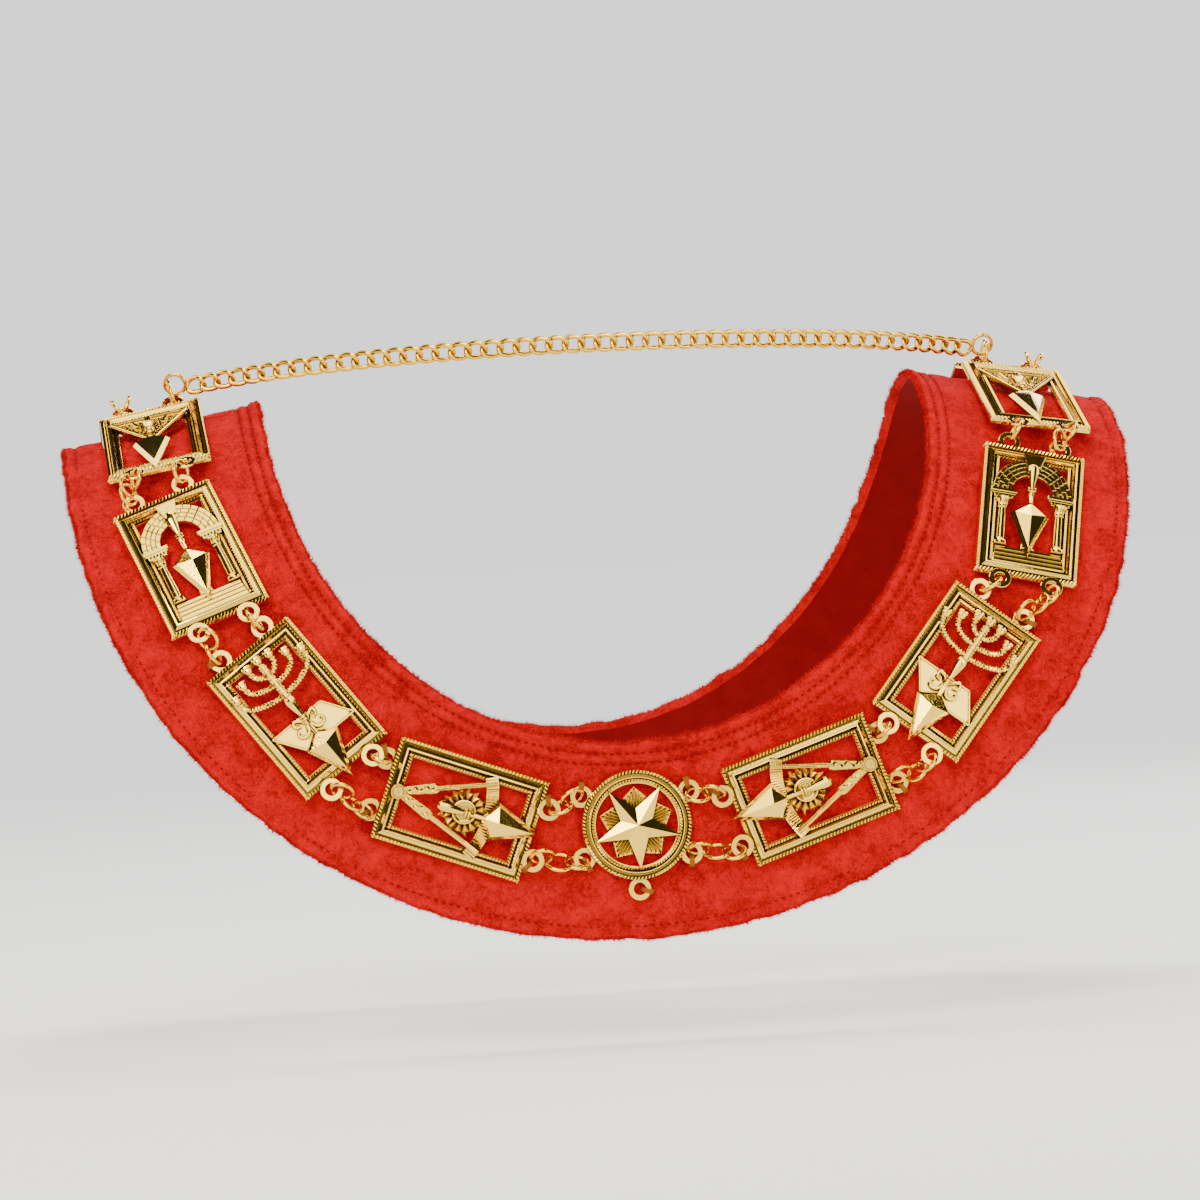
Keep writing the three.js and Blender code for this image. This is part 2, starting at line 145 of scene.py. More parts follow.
def castings():
    """Every casting in order round the loop from the front medallion, with its ears by side."""
    out = []

    def ears(matrix, places):
        normal = matrix.to_3x3().col[2].copy()
        return [(matrix @ Vector(p), normal) for p in places]

    def medal(name, q):
        matrix = seat(q, MEDAL_LINE, 1) @ Matrix.Rotation(math.pi / 2, 4, "Z")
        places = [(MEDAL_EAR_R * math.cos(a), MEDAL_EAR_R * math.sin(a), EAR_LOW + EAR_T / 2)
                  for a in map(math.radians, (30, 330, 150, 210))]
        found = ears(matrix, places)
        out.append({"node": name, "motif": "medallion", "matrix": matrix, "q": q,
                    "back": found[2:], "on": found[:2]})

    def plaque(side, number):
        sign = 1 if side == "right" else -1
        along = MEDAL_PITCH + (number - 1) * PITCH + RIDGE_SHIFT.get(number, 0)
        q = line_at(LOOP_LENGTH / 4 + sign * along)
        turn = HANG[side][number - 1] if number <= 4 else 0
        matrix = seat(q, line_v(q), sign, turn)
        motif = MOTIFS[(number - 1) % 4]
        y = PLAQUE[1] / 2 + EAR_OUT
        low = ears(matrix, [(x * sign, -y, EAR_HIGH + EAR_T / 2) for x in (-EAR_X, EAR_X)])
        high = ears(matrix, [(x * sign, y, EAR_LOW + EAR_T / 2) for x in (-EAR_X, EAR_X)])
        back, on = (low, high) if sign > 0 else (high, low)
        out.append({"node": f"plaque_{side}_{number}_{motif}", "motif": motif, "matrix": matrix, "q": q,
                    "back": back, "on": on})

    medal("medallion_front", line_at(LOOP_LENGTH / 4))
    for number in range(1, 9):
        plaque("right", number)
    medal("medallion_rear", line_at(LOOP_LENGTH * 3 / 4))
    for number in range(8, 0, -1):
        plaque("left", number)
    return out


CASTINGS = castings()


# ---- making pieces ----------------------------------------------------------------------------
def piece(name, bm, material, smooth_angle=None, matrix=None):
    """Turns a bmesh in millimetres into an object in metres at its place, and frees the bmesh."""
    bmesh.ops.transform(bm, matrix=Matrix.Scale(MM, 4) @ (matrix or Matrix()), verts=bm.verts)
    mesh = bpy.data.meshes.new(name)
    bm.to_mesh(mesh)
    bm.free()
    mesh.materials.append(material)
    if smooth_angle is None:
        mesh.shade_flat()
    else:
        mesh.shade_smooth()
        mesh.set_sharp_from_angle(angle=math.radians(smooth_angle))
    obj = bpy.data.objects.new(name, mesh)
    bpy.context.collection.objects.link(obj)
    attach(obj, "root")
    return obj


def verts_of(result):
    return [g for g in result["geom"] if isinstance(g, bmesh.types.BMVert)]


def edges_of(result):
    return [g for g in result["geom"] if isinstance(g, bmesh.types.BMEdge)]


def prism(bm, points, low, high, ease=0.2, segments=1):
    """A flat body with that outline, its upper edges eased. Points run anticlockwise."""
    base = bm.faces.new([bm.verts.new((x, y, low)) for x, y in points])
    raised = bmesh.ops.extrude_face_region(bm, geom=[base])
    top = [g for g in raised["geom"] if isinstance(g, bmesh.types.BMFace)]
    bmesh.ops.translate(bm, vec=(0, 0, high - low), verts=verts_of(raised))
    base.normal_flip()
    if ease:
        bmesh.ops.bevel(bm, geom=list(top[0].edges), offset=ease, offset_type="OFFSET", segments=segments,
                        profile=0.5, affect="EDGES", material=-1, clamp_overlap=True)


def arc(cx, cy, radius, start, end, steps):
    angles = [math.radians(lerp(start, end, i / steps)) for i in range(steps + 1)]
    return [(cx + radius * math.cos(a), cy + radius * math.sin(a)) for a in angles]


def bar(bm, start, end, widths, low, high, ease=0.2, segments=1):
    along = (Vector(end) - Vector(start)).normalized()
    side = Vector((along.y, -along.x))
    corners = []
    for at, width, sign in ((start, widths[0], -1), (start, widths[0], 1),
                            (end, widths[1], 1), (end, widths[1], -1)):
        corners.append(tuple(Vector(at) + side * width / 2 * sign))
    prism(bm, corners, low, high, ease, segments)


def roof(bm, start, end, widths, low, high):
    """A bar of three-cornered section, its ridge above."""
    start, end = Vector((*start, low)), Vector((*end, low))
    side = (end - start).normalized().cross(Vector((0, 0, 1)))
    rise = Vector((0, 0, high - low))
    foot = [at + side * s * width / 2 for at, width in zip((start, end), widths) for s in (-1, 1)]
    facet(bm, foot + [start + rise, end + rise])


def rect(cx, cy, width, height):
    x, y = width / 2, height / 2
    return [(cx - x, cy - y), (cx + x, cy - y), (cx + x, cy + y), (cx - x, cy + y)]


def turned(bm, profile, steps, matrix=None):
    """A body of revolution about z from (radius, height) points, then moved by matrix."""
    verts = [bm.verts.new((r, 0, z)) for r, z in profile]
    edges = [bm.edges.new(pair) for pair in zip(verts, verts[1:])]
    bmesh.ops.spin(bm, geom=verts + edges, cent=(0, 0, 0), axis=(0, 0, 1), angle=TURN, steps=steps,
                   use_merge=True)
    made = set(verts)
    stack = list(verts)
    while stack:
        for edge in stack.pop().link_edges:
            for vert in edge.verts:
                if vert not in made:
                    made.add(vert)
                    stack.append(vert)
    made = [v for v in made if v.is_valid]
    bmesh.ops.remove_doubles(bm, verts=made, dist=1e-4)
    made = [v for v in made if v.is_valid]
    if matrix:
        bmesh.ops.transform(bm, matrix=matrix, verts=made)
    return made


def washer(bm, centre, low, outer=EAR_R, inner=EAR_HOLE_R, thick=EAR_T, steps=32):
    """A flat ring with rounded edges."""
    e = 0.22
    profile = [(inner, low + e), (inner + e, low), (outer - e, low), (outer, low + e),
               (outer, low + thick - e), (outer - e, low + thick), (inner + e, low + thick),
               (inner, low + thick - e), (inner, low + e)]
    turned(bm, profile, steps, Matrix.Translation((*centre, 0)))


def rect_moulding(bm, half, profile):
    """A mitred moulding round a rectangle: (inset, height) points, closed on themselves."""
    def corner(vert, inset, height):
        x, y = (math.copysign(half[k] - inset, vert.co[k]) for k in (0, 1))
        vert.co = (x, y, height)

    verts = [bm.verts.new((sx, sy, 0)) for sx, sy in ((-1, -1), (1, -1), (1, 1), (-1, 1))]
    edges = [bm.edges.new((verts[i], verts[(i + 1) % 4])) for i in range(4)]
    made = list(verts)
    for vert in verts:
        corner(vert, *profile[0])
    for inset, height in (*profile[1:], profile[0]):
        out = bmesh.ops.extrude_edge_only(bm, edges=edges)
        edges = edges_of(out)
        for vert in verts_of(out):
            corner(vert, inset, height)
            made.append(vert)
    bmesh.ops.remove_doubles(bm, verts=made, dist=1e-4)


STRAND_SLANT = 0.75  # how far a strand runs along the border, as a share of its width


def strand(bm, at, along, inward, width, height, pitch):
    """One slanted strand of a cast rope border, from the border's outer edge to its inner edge."""
    points = []
    for k in range(4):
        angle = math.pi * k / 3
        aside = inward * width * (1 - math.cos(angle)) / 2
        middle = at + along * (k / 3 - 0.5) * width * STRAND_SLANT + aside
        high = height * math.sin(angle)
        points.append(middle + Vector((0, 0, high)))
        points += [middle + along * side * pitch * 0.46 + Vector((0, 0, high * 0.76)) for side in (-1, 1)]
    facet(bm, points)


def rope_rectangle(bm, half, low, width, height, pitch):
    corners = [Vector((sx * half[0], sy * half[1], low)) for sx, sy in ((-1, -1), (1, -1), (1, 1), (-1, 1))]
    for a, b in zip(corners, corners[1:] + corners[:1]):
        along = (b - a).normalized()
        inward = Vector((-along.y, along.x, 0))
        run = (b - a).length - width
        count = round(run / pitch)
        for i in range(count + 1):
            strand(bm, a + along * (width / 2 + run * i / count), along, inward, width, height, run / count)


def rope_circle(bm, outer, low, width, height, pitch):
    count = round(TURN * (outer - width / 2) / pitch)
    for i in range(count):
        a = TURN * i / count
        radial = Vector((math.cos(a), math.sin(a), 0))
        at = radial * outer + Vector((0, 0, low))
        strand(bm, at, Vector((-radial.y, radial.x, 0)), -radial, width, height, pitch)


def sweep(bm, points, radius_at, sides):
    """A tube along points; radius_at gives the radius from (step share, angle)."""
    loops = []
    count = len(points)
    for i, at in enumerate(points):
        ahead = (points[min(i + 1, count - 1)] - points[max(i - 1, 0)]).normalized()
        side = ahead.cross(Vector((0, 0, 1)))
        side = side.normalized() if side.length > 1e-3 else Vector((1, 0, 0))
        up = side.cross(ahead)
        verts = []
        for j in range(sides):
            a = TURN * j / sides
            r = radius_at(i / (count - 1), a)
            verts.append(bm.verts.new(at + side * math.cos(a) * r + up * math.sin(a) * r))
        loops.append([bm.edges.new((verts[j], verts[(j + 1) % sides])) for j in range(sides)])
    for first, second in zip(loops, loops[1:]):
        bmesh.ops.bridge_loops(bm, edges=first + second)
    for loop in (loops[0], loops[-1]):
        bmesh.ops.contextual_create(bm, geom=loop)


def strand_rope(bm, points, radius, pitch, sides=10, strands=2):
    """A laid rope of a few strands along points."""
    length = sum((b - a).length for a, b in zip(points, points[1:]))

    def radius_at(share, angle):
        lay = angle * strands / 2 - math.pi * share * length / pitch
        return radius * (0.62 + 0.38 * abs(math.cos(lay)))

    sweep(bm, points, radius_at, sides)


def resample(points, step):
    """The same polyline with points that far apart."""
    out, left = [points[0]], step
    for a, b in zip(points, points[1:]):
        length = (b - a).length
        at = left
        while at <= length:
            out.append(a.lerp(b, at / length))
            at += step
        left = at - length
    out.append(points[-1])
    return out


def facet(bm, corners):
    """A convex body over those points."""
    verts = [bm.verts.new(c) for c in corners]
    bmesh.ops.convex_hull(bm, input=verts, use_existing_faces=False)


# ---- the trowel that every plaque carries ------------------------------------------------------
BLADE_FACE = 0.8  # share of the blade that its flat kite covers, inside the sloping walls


def trowel(bm, top, foot, blade, shoulder, tip, x=-0.5, half=7.7):
    """A turned handle, a banded ferrule, a cranked neck and a thick kite blade with sloping walls."""
    length = top - foot - 1.6
    shape = [(0, 0), (0.9, 0), (1.15, 0.14), (1.75, 0.38), (2.3, 0.64), (2.3, 0.8), (1.85, 0.93),
             (1.1, 0.99), (0, 1)]
    lay = Matrix.Translation((x, foot + 1.4, 3.9)) @ Matrix.Rotation(-math.pi / 2, 4, "X")
    turned(bm, [(r, t * length) for r, t in shape], 12, lay @ Matrix.Diagonal((1, 0.85, 1, 1)))
    for k in (0, 1):
        band = [(0, -0.55), (1.5, -0.55), (1.95, -0.25), (1.95, 0.25), (1.5, 0.55), (0, 0.55)]
        at = Matrix.Translation((x, foot + 0.9 - k * 1.15, 3.9)) @ Matrix.Rotation(-math.pi / 2, 4, "X")
        turned(bm, band, 24, at)
    drop = foot - blade
    neck = [Vector((x, foot, 3.7)), Vector((x, foot - drop * 0.45, 3.4)), Vector((x, foot - drop * 0.8, 3.9)),
            Vector((x, blade - 1.6, 4.6))]
    sweep(bm, neck, lambda t, a: lerp(1.3, 0.85, t), 12)
    base, edge, crest = [], [], []
    middle = Vector((x, lerp(shoulder, tip, 0.1), 0))
    for corner in (Vector((x, tip, 0)), Vector((x + half, shoulder, 0)), Vector((x, blade, 0)),
                   Vector((x - half, shoulder, 0))):
        base.append(corner + Vector((0, 0, 2.3)))
        edge.append(corner + Vector((0, 0, 3.3)))
        crest.append(middle + (corner - middle) * BLADE_FACE + Vector((0, 0, 4.9)))
    facet(bm, base + edge + crest + [middle + Vector((0, 0, 6.6))])


# ---- plaque frame --------------------------------------------------------------------------------
FRAME_PROFILE = ((0.25, 0), (0.25, 1.5), (2.3, 1.6), (2.5, 1.5), (2.75, 2.5), (3.85, 3.25), (3.92, 3.05),
                 (4.06, 3.05), (4.14, 3.3), (4.55, 3.4), (5.45, 1.9), (5.55, 1.5), (7.15, 1.4), (7.15, 0))


def plaque_frame(bm):
    half = (PLAQUE[0] / 2, PLAQUE[1] / 2)
    rect_moulding(bm, half, FRAME_PROFILE)
    rope_rectangle(bm, half, 1.2, 2.35, 2.1, 1.45)
    inner = (half[0] - 5.45, half[1] - 5.45)
    rope_rectangle(bm, inner, 1.1, 1.75, 1.7, 1.25)
    for end, low in ((1, EAR_LOW), (-1, EAR_HIGH)):
        for x in (-EAR_X, EAR_X):
            washer(bm, (x, end * (half[1] + EAR_OUT)), low)


SUN_RAYS = 16


def compasses(bm):
    """Compasses over a sun of pointed rays, with the scale arc between the legs."""
    hinge = Vector((-0.5, 25.3))
    for tip, low in ((Vector((-14.2, -11.6)), 3.1), (Vector((13.9, -10.8)), 2.9)):
        along = (tip - hinge).normalized()
        side = Vector((-along.y, along.x))
        neck = hinge + along * 14.6
        bar(bm, tuple(hinge), tuple(neck), (2.8, 4.1), low - 0.6, low + 0.9, 0.3)
        knuckle = [(0, 1.5), (1.3, 1.4), (1.9, 0.9), (2.05, 0), (0, 0)]
        turned(bm, knuckle, 24, Matrix.Translation((*neck, low - 0.6)))
        for k in range(5):
            at, swing = hinge + along * (4.4 + 2.3 * k), side * (0.8 if k % 2 else -0.8)
            leaf = [Vector((*(at + swing * n + along * m), low + z)) for n, m, z in (
                (1.5, -1.0, 0.8), (1.9, 0.6, 0.8), (0.2, 1.6, 0.8), (-0.9, 0.4, 0.8), (0.1, -1.2, 0.8),
                (1.2, -0.1, 1.55), (0.1, 0.5, 1.5))]
            facet(bm, leaf)
        bar(bm, tuple(neck), tuple(tip), (2.0, 1.6), low - 0.5, low + 0.9, 0.2)
        bar(bm, tuple(neck), tuple(tip), (1.0, 0.8), low + 0.8, low + 1.4, 0.3)
    scale_arc(bm, hinge, 251, 289, 1.2, 2.8)
    for start, end in ((244.5, 251), (289, 295.5)):
        scale_arc(bm, hinge, start, end, 1.2, 3.7)
    disc = [(0, 5.0), (1.9, 5.0), (2.1, 4.75), (2.3, 4.75), (2.5, 5.1), (2.8, 5.1), (3.05, 4.7),
            (3.05, 2.4), (0, 2.4)]
    turned(bm, disc, 28, Matrix.Translation((*hinge, 0)))
    bar(bm, (hinge.x - 1.5, hinge.y - 1.0), (hinge.x + 1.5, hinge.y + 1.0), (0.5, 0.5), 4.9, 5.25, 0.1)
    sun = Vector((-0.5, -1.7, 0))
    for i in range(SUN_RAYS):
        swing = Matrix.Rotation(TURN * i / SUN_RAYS, 3, "Z")
        ray = [(4.2, -0.85, 1.4), (4.2, 0.85, 1.4), (7.9, -1.5, 1.4), (7.9, 1.5, 1.4), (10.3, 0, 1.4),
               (7.9, -1.5, 1.9), (7.9, 1.5, 1.9), (10.2, 0, 1.9), (4.4, 0, 3.2), (7.4, 0, 3.7)]
        facet(bm, [sun + swing @ Vector(p) for p in ray])
    rings = [(0, 2.9), (2.4, 2.9), (2.6, 3.2), (3.1, 3.2), (3.3, 2.8), (3.9, 3.0), (4.2, 3.5), (4.7, 3.4),
            (4.9, 3.0), (4.9, 1.3), (0, 1.3)]
    turned(bm, rings, 36, Matrix.Translation(sun))
    trowel(bm, 9.2, -3.4, -8.7, -14, -33.2)


def scale_arc(bm, hinge, start, end, low, high, inner=34.7, outer=39.5):
    """Part of the curved scale, cut with fine lines across."""
    steps = round((end - start) / 1.6)
    far, near = arc(*hinge, outer, start, end, steps), arc(*hinge, inner, start, end, steps)
    for i in range(steps):
        prism(bm, [near[i], far[i], far[i + 1], near[i + 1]], low, high - 0.4, 0)
        roof(bm, Vector(near[i]).lerp(Vector(near[i + 1]), 0.5), Vector(far[i]).lerp(Vector(far[i + 1]), 0.5),
             (1.2, 1.4), high - 0.45, high)


def cup(bm, x, y, width=4.5, height=4.8):
    """A candle cup with a banded foot and a flared lip."""
    shape = [(0, 0), (0.28, 0), (0.34, 0.1), (0.2, 0.2), (0.3, 0.3), (0.42, 0.5), (0.38, 0.66), (0.5, 0.8),
             (0.46, 0.94), (0, 1.0)]
    lay = Matrix.Translation((x, y, 2.9)) @ Matrix.Rotation(-math.pi / 2, 4, "X")
    turned(bm, [(r * width, t * height) for r, t in shape], 14, lay @ Matrix.Diagonal((1, 0.8, 1, 1)))


def candlestick(bm):
    """Seven lights on rope arms, over a foot of scrolls, a bevelled mirror plate and the trowel."""
    def rope(points, radius=1.35, high=2.7):
        strand_rope(bm, resample([Vector((x, y, high)) for x, y in points], 0.36), radius, 1.35)

    for x in (-0.95, 0.95):
        rope([(x, 5.5), (x, 21.6)], 0.85, 2.9)
    bar(bm, (0, 5), (0, 22), (1.7, 1.2), 2.4, 4.9, 0.55)
    cup(bm, 0, 21.2)
    for half, top, foot in ((5.3, 21.2, 16.8), (10.8, 17.6, 12.4), (16.4, 14.6, 7.0)):
        rope([(half * math.cos(a), top + (top - foot) * math.sin(a)) for a in
              [math.pi + math.pi * i / 28 for i in range(29)]])
        for sign in (-1, 1):
            cup(bm, sign * half, top - 0.4)
    plate = [(-15.5, -3.7), (-7.5, -15.5), (16.2, -15.2), (8.7, -3.7)]
    prism(bm, plate, 0.9, 2.4, 0.15)
    for a, b in zip(plate, plate[1:] + plate[:1]):
        bar(bm, a, b, (0.8, 0.8), 2.1, 3.1, 0.25)
    for sx in (-1, 1):
        for hook in (((0.8, -6.2), (2.6, -4.4), (4.5, -3.7), (5.2, -5.2), (4.4, -6.5), (3.0, -6.5)),
                     ((0.9, -8.2), (2.0, -10.4), (4.0, -11.2), (5.7, -10.2), (5.9, -8.6), (4.9, -8.0))):
            control = [Vector((-0.5 + sx * x, y, 3.6)) for x, y in hook]
            path = rounded(control, 4)
            sweep(bm, path, lambda t, a: lerp(0.95, 0.5, t) if t < 0.86 else 0.85, 10)
    trowel(bm, 6.0, -5.4, -11.2, -16.2, -34.4)


def rounded(points, steps):
    """The same path through those points, with its corners rounded."""
    out = []
    for i in range(len(points) - 1):
        a, b = points[i], points[i + 1]
        before, after = points[max(i - 1, 0)], points[min(i + 2, len(points) - 1)]
        out += interpolate_bezier(a, a + (b - before) / 6, b - (after - a) / 6, b, steps + 1)[:-1]
    return out + [points[-1]]


def masonry_arch(bm):
    """A round arch of bricks on two columns over steps, with a keystone; the trowel hangs in it."""
    crown_y = 8.6
    rings = [(8.6, 10.4), (10.55, 12.3), (12.45, 14.2), (14.35, 16.1)]
    for k, (inner, outer) in enumerate(rings):
        count = 9 + 2 * k
        for i in range(count + (k % 2)):
            a0 = max(0, (i - (k % 2) * 0.5) / count) * 180
            a1 = min(1, (i + 1 - (k % 2) * 0.5) / count) * 180
            joint = math.degrees(0.09 / outer)
            if a1 - a0 < 3 * joint:
                continue
            far = arc(0, crown_y, outer, a0 + joint, a1 - joint, 3)
            near = arc(0, crown_y, inner, a0 + joint, a1 - joint, 3)
            prism(bm, far + near[::-1], 1.3, 3.55, 0.22)
    back_outer = arc(0, crown_y, 15.9, 0, 180, 24)
    back_inner = arc(0, crown_y, 8.8, 0, 180, 24)
    for i in range(24):
        prism(bm, [back_inner[i], back_outer[i], back_outer[i + 1], back_inner[i + 1]], 1.1, 2.6, 0)
    prism(bm, [(-2.6, 20.6), (2.6, 20.6), (4.5, 26.6), (-4.5, 26.6)], 1.4, 4.8, 0.35)
    for sx in (-1, 1):
        x = sx * 11.6
        prism(bm, rect(x, 7.9, 10.6, 1.7), 1.1, 4.5, 0.25)
        prism(bm, rect(x, 6.7, 9.4, 0.8), 1.1, 4.1, 0.15)
        for k in range(6):
            prism(bm, rect(x - 3.5 + 1.4 * k, 5.8, 0.85, 1.0), 1.2, 4.0, 0.12)
        prism(bm, rect(x, 5.0, 7.6, 0.7), 1.1, 3.9, 0.15)
        shaft = Matrix.Translation((x, -17.2, 1.4)) @ Matrix.Rotation(-math.pi / 2, 4, "X")
        profile = [(0, 0), (3.1, 0), (3.1, 0.9), (2.7, 1.3), (2.9, 1.8), (2.5, 2.4), (2.05, 2.9), (2.1, 6.5),
                   (2.0, 12), (1.85, 17.4), (2.3, 17.8), (2.3, 18.4), (1.9, 18.8), (2.2, 19.8), (3.2, 21.2),
                   (3.5, 21.9), (0, 21.9)]
        turned(bm, profile, 20, shaft)
        for k in range(5):
            lean = (k - 2) * 0.7
            facet(bm, [Vector((x + lean - 0.42, 1.6, 2.6)), Vector((x + lean + 0.42, 1.6, 2.6)),
                       Vector((x + lean * 1.45, 4.5, 2.8)), Vector((x + lean * 1.2, 3.2, 4.6)),
                       Vector((x + lean * 1.45 - 0.4, 3.9, 3.6)), Vector((x + lean * 1.45 + 0.4, 3.9, 3.6))])
    for k in range(4):
        prism(bm, rect(0, -18.3 - 2.2 * k, 27.6 + 0.4 * k, 1.95), 1.0, 2.3 + 0.5 * k, 0.42)
    bar(bm, (-0.4, 20.8), (-0.4, 19.6), (2.4, 2.4), 2, 4.4, 0.3)
    prism(bm, [(-3.2, -17.6), (2.4, -17.6), (1.4, -10), (-2.2, -10)], 1.4, 3.0, 0.4)
    trowel(bm, 22.3, 9.2, 4.5, -1.5, -21.7, x=-0.4)


def triangle(bm):
    """A triangle with its point down: raised rim, grained field, two bare bars and fluted edges."""
    corners = [Vector((-17.5, 20.8)), Vector((-0.8, -4.5)), Vector((16.3, 20.8))]
    prism(bm, [tuple(c) for c in corners], 1.0, 3.1, 0.1)
    centre = sum(corners, Vector((0, 0))) / 3
    inner = [c.lerp(centre, 0.075) for c in corners]
    for a, b in zip(inner, inner[1:] + inner[:1]):
        bar(bm, tuple(a), tuple(b), (1.4, 1.4), 2.8, 3.9, 0.35, 2)
    rng = random.Random(5)
    u, w = corners[1] - corners[0], corners[2] - corners[0]
    for i in range(26):
        for j in range(26 - i):
            s, t = (i + rng.random() * 0.7 + 0.3) / 27, (j + rng.random() * 0.7 + 0.3) / 27
            if s + t > 0.97:
                continue
            p = centre + (corners[0] + u * s + w * t - centre) * 0.82
            r = rng.uniform(0.22, 0.4)
            facet(bm, [Vector((p.x + r * math.cos(a), p.y + r * math.sin(a), 3.05)) for a in (0.3, 2.4, 4.5)]
                  + [Vector((p.x, p.y, 3.05 + r * 0.8))])
    for sx in (-1, 1):
        bar(bm, (-0.6 + sx * 7.2, 17.2), (-0.6 + sx * 5.2, 11.4), (1.3, 1.3), 3.0, 4.1, 0.3, 2)
    for a, b in ((corners[0], corners[1]), (corners[1], corners[2])):
        steps = 26
        for k in range(steps):
            p = a.lerp(b, (k + 0.5) / steps)
            out = Vector(((b - a).y, -(b - a).x)).normalized()
            if out.dot(p - centre) < 0:
                out = -out
            q = p + out * 0.18
            bar(bm, tuple(p - out * 0.3), tuple(q), (0.55, 0.55), 1.1, 3.3, 0.1)
    trowel(bm, 17.2, 4.6, -0.4, -6.2, -32.2, x=-1.2)


def medallion_body(bm):
    """Two rope rings with a moulding between, a faceted star over square-ended ribbed lobes."""
    flat = [(MEDAL_R - 0.25, 0), (MEDAL_R - 0.25, 1.5), (20.0, 1.6), (19.8, 1.3), (19.5, 1.3), (19.35, 2.6),
            (18.9, 3.3), (18.5, 3.3), (18.3, 2.4), (18.15, 1.5), (16.3, 1.4), (16.3, 0), (MEDAL_R - 0.25, 0)]
    turned(bm, flat, 72)
    rope_circle(bm, MEDAL_R, 1.2, 2.0, 1.9, 1.4)
    rope_circle(bm, 18.35, 1.1, 1.7, 1.7, 1.2)
    down = -math.pi / 2 + math.radians(2)
    for i in range(5):
        a = down + TURN * i / 5

        def at(r, turn, z):
            return Vector((r * math.cos(a + turn), r * math.sin(a + turn), z))

        half = TURN / 10
        facet(bm, [at(17.5, 0, 1.8), at(17.3, 0, 2.9), at(6.6, half, 1.8), at(6.6, half, 2.9),
                   at(6.6, -half, 1.8), at(6.6, -half, 2.9), Vector((0, 0, 1.8)), Vector((0, 0, 6.1))])
        b = a + half
        out, side = Vector((math.cos(b), math.sin(b))), Vector((-math.sin(b), math.cos(b)))
        lobe = ((3, -3), (10.8, -4.6), (15, 0), (10.8, 4.6), (3, 3))
        prism(bm, [tuple(out * x + side * y) for x, y in lobe], 0.8, 1.7)
        for k in range(-3, 4):
            tip = out * (14.4 - 1.3 * abs(k)) + side * k * 1.27
            roof(bm, out * 3 + side * k * 0.8, tip, (0.75, 1.15), 1.6, 2.5)
    for degrees in (30, 150, 210, 330):
        a = math.radians(degrees)
        washer(bm, (MEDAL_EAR_R * math.cos(a), MEDAL_EAR_R * math.sin(a)), EAR_LOW)
    washer(bm, (0, -JEWEL_EAR_R), EAR_LOW)


MAKERS = {"compasses": compasses, "candlestick": candlestick, "arch": masonry_arch, "triangle": triangle}


def casting_mesh(motif):
    bm = bmesh.new()
    if motif == "medallion":
        medallion_body(bm)
    else:
        plaque_frame(bm)
        MAKERS[motif](bm)
    bmesh.ops.recalc_face_normals(bm, faces=bm.faces)
    return bm


# ---- rings -----------------------------------------------------------------------------------------
# ears this near share one ring, ears up to two rings apart share two, and the rest take three
ONE_RING, TWO_RINGS = 11.6, 14.6
WIDEST_CHORD, END_CHORD = 8.4, 6.8
RING_LEANS = ((34, -30, -32), (-30, 36, 28), (26, -38, -30), (-36, 28, 34))
# the connections whose inner rings carry the chain: they stand straight and are larger
CHAIN_AT = (4, 13)
CHAIN_JUMP_R = 5.1


def torus(bm, centre, ahead, raise_, radius, wire=WIRE_R, steps=28, sides=10):
    profile = [(radius + wire * math.cos(TURN * i / sides), wire * math.sin(TURN * i / sides))
               for i in range(sides + 1)]
    matrix = axes_matrix(ahead, raise_, ahead.cross(raise_), centre)
    turned(bm, profile, steps, matrix)


def ring_places(a, b, leans, least=RING_R):
    """(centre, ahead, raise, radius) of every ring of one connection."""
    (p, n1), (r, n2) = a, b
    gap = r - p
    distance = gap.length
    mean = (n1 + n2).normalized()
    side = gap.cross(mean).normalized()
    normal = mean - mean.project(gap)
    normal.normalize()
    ahead = gap.normalized()

    def through(start, chord, lean, radius=least):
        radius = max(radius, chord / 2 + 0.25)
        raise_ = normal * math.cos(math.radians(lean)) + side * math.sin(math.radians(lean))
        high = math.sqrt(radius * radius - chord * chord / 4)
        return start + ahead * chord / 2 + raise_ * high, ahead, raise_, radius

    if distance < ONE_RING:
        chord, dip = min(distance + 0.8, WIDEST_CHORD), 2.7
        radius = (chord * chord / 4 + dip * dip) / (2 * dip)
        return [through(p + ahead * (distance - chord) / 2, chord, leans[0] * 0.7, radius)]
    if distance / mean.dot(n1) < TWO_RINGS:
        chord = distance / 2 + 0.95
        return [through(p, chord, leans[0]), through(r - ahead * chord, chord, leans[1])]
    chord = END_CHORD
    low = chord - 1.5
    return [through(p, chord, leans[0]), through(p + ahead * low, distance - 2 * low, leans[2]),
            through(r - ahead * chord, chord, leans[1])]


def connections():
    for i, here in enumerate(CASTINGS):
        there = CASTINGS[(i + 1) % len(CASTINGS)]
        for k, edge in enumerate(("inner", "outer")):
            leans, least = RING_LEANS[(2 * i + k) % len(RING_LEANS)], RING_R
            if edge == "inner" and i in CHAIN_AT:
                leans, least = (0, 0, 0), CHAIN_JUMP_R
            yield f"rings_{i + 1}_{edge}", ring_places(here["on"][k], there["back"][k], leans, least)


# ---- curb chain ------------------------------------------------------------------------------------
CHAIN_PITCH = 6.6
ROUTE_STEP = 0.25
CHAIN_RING_SHIFT = (3.6, 7.4, 2.4)
FIRST_LINK = (5.6, -1.8)
CHAIN_HANDLE = Vector((72, -48, 11))


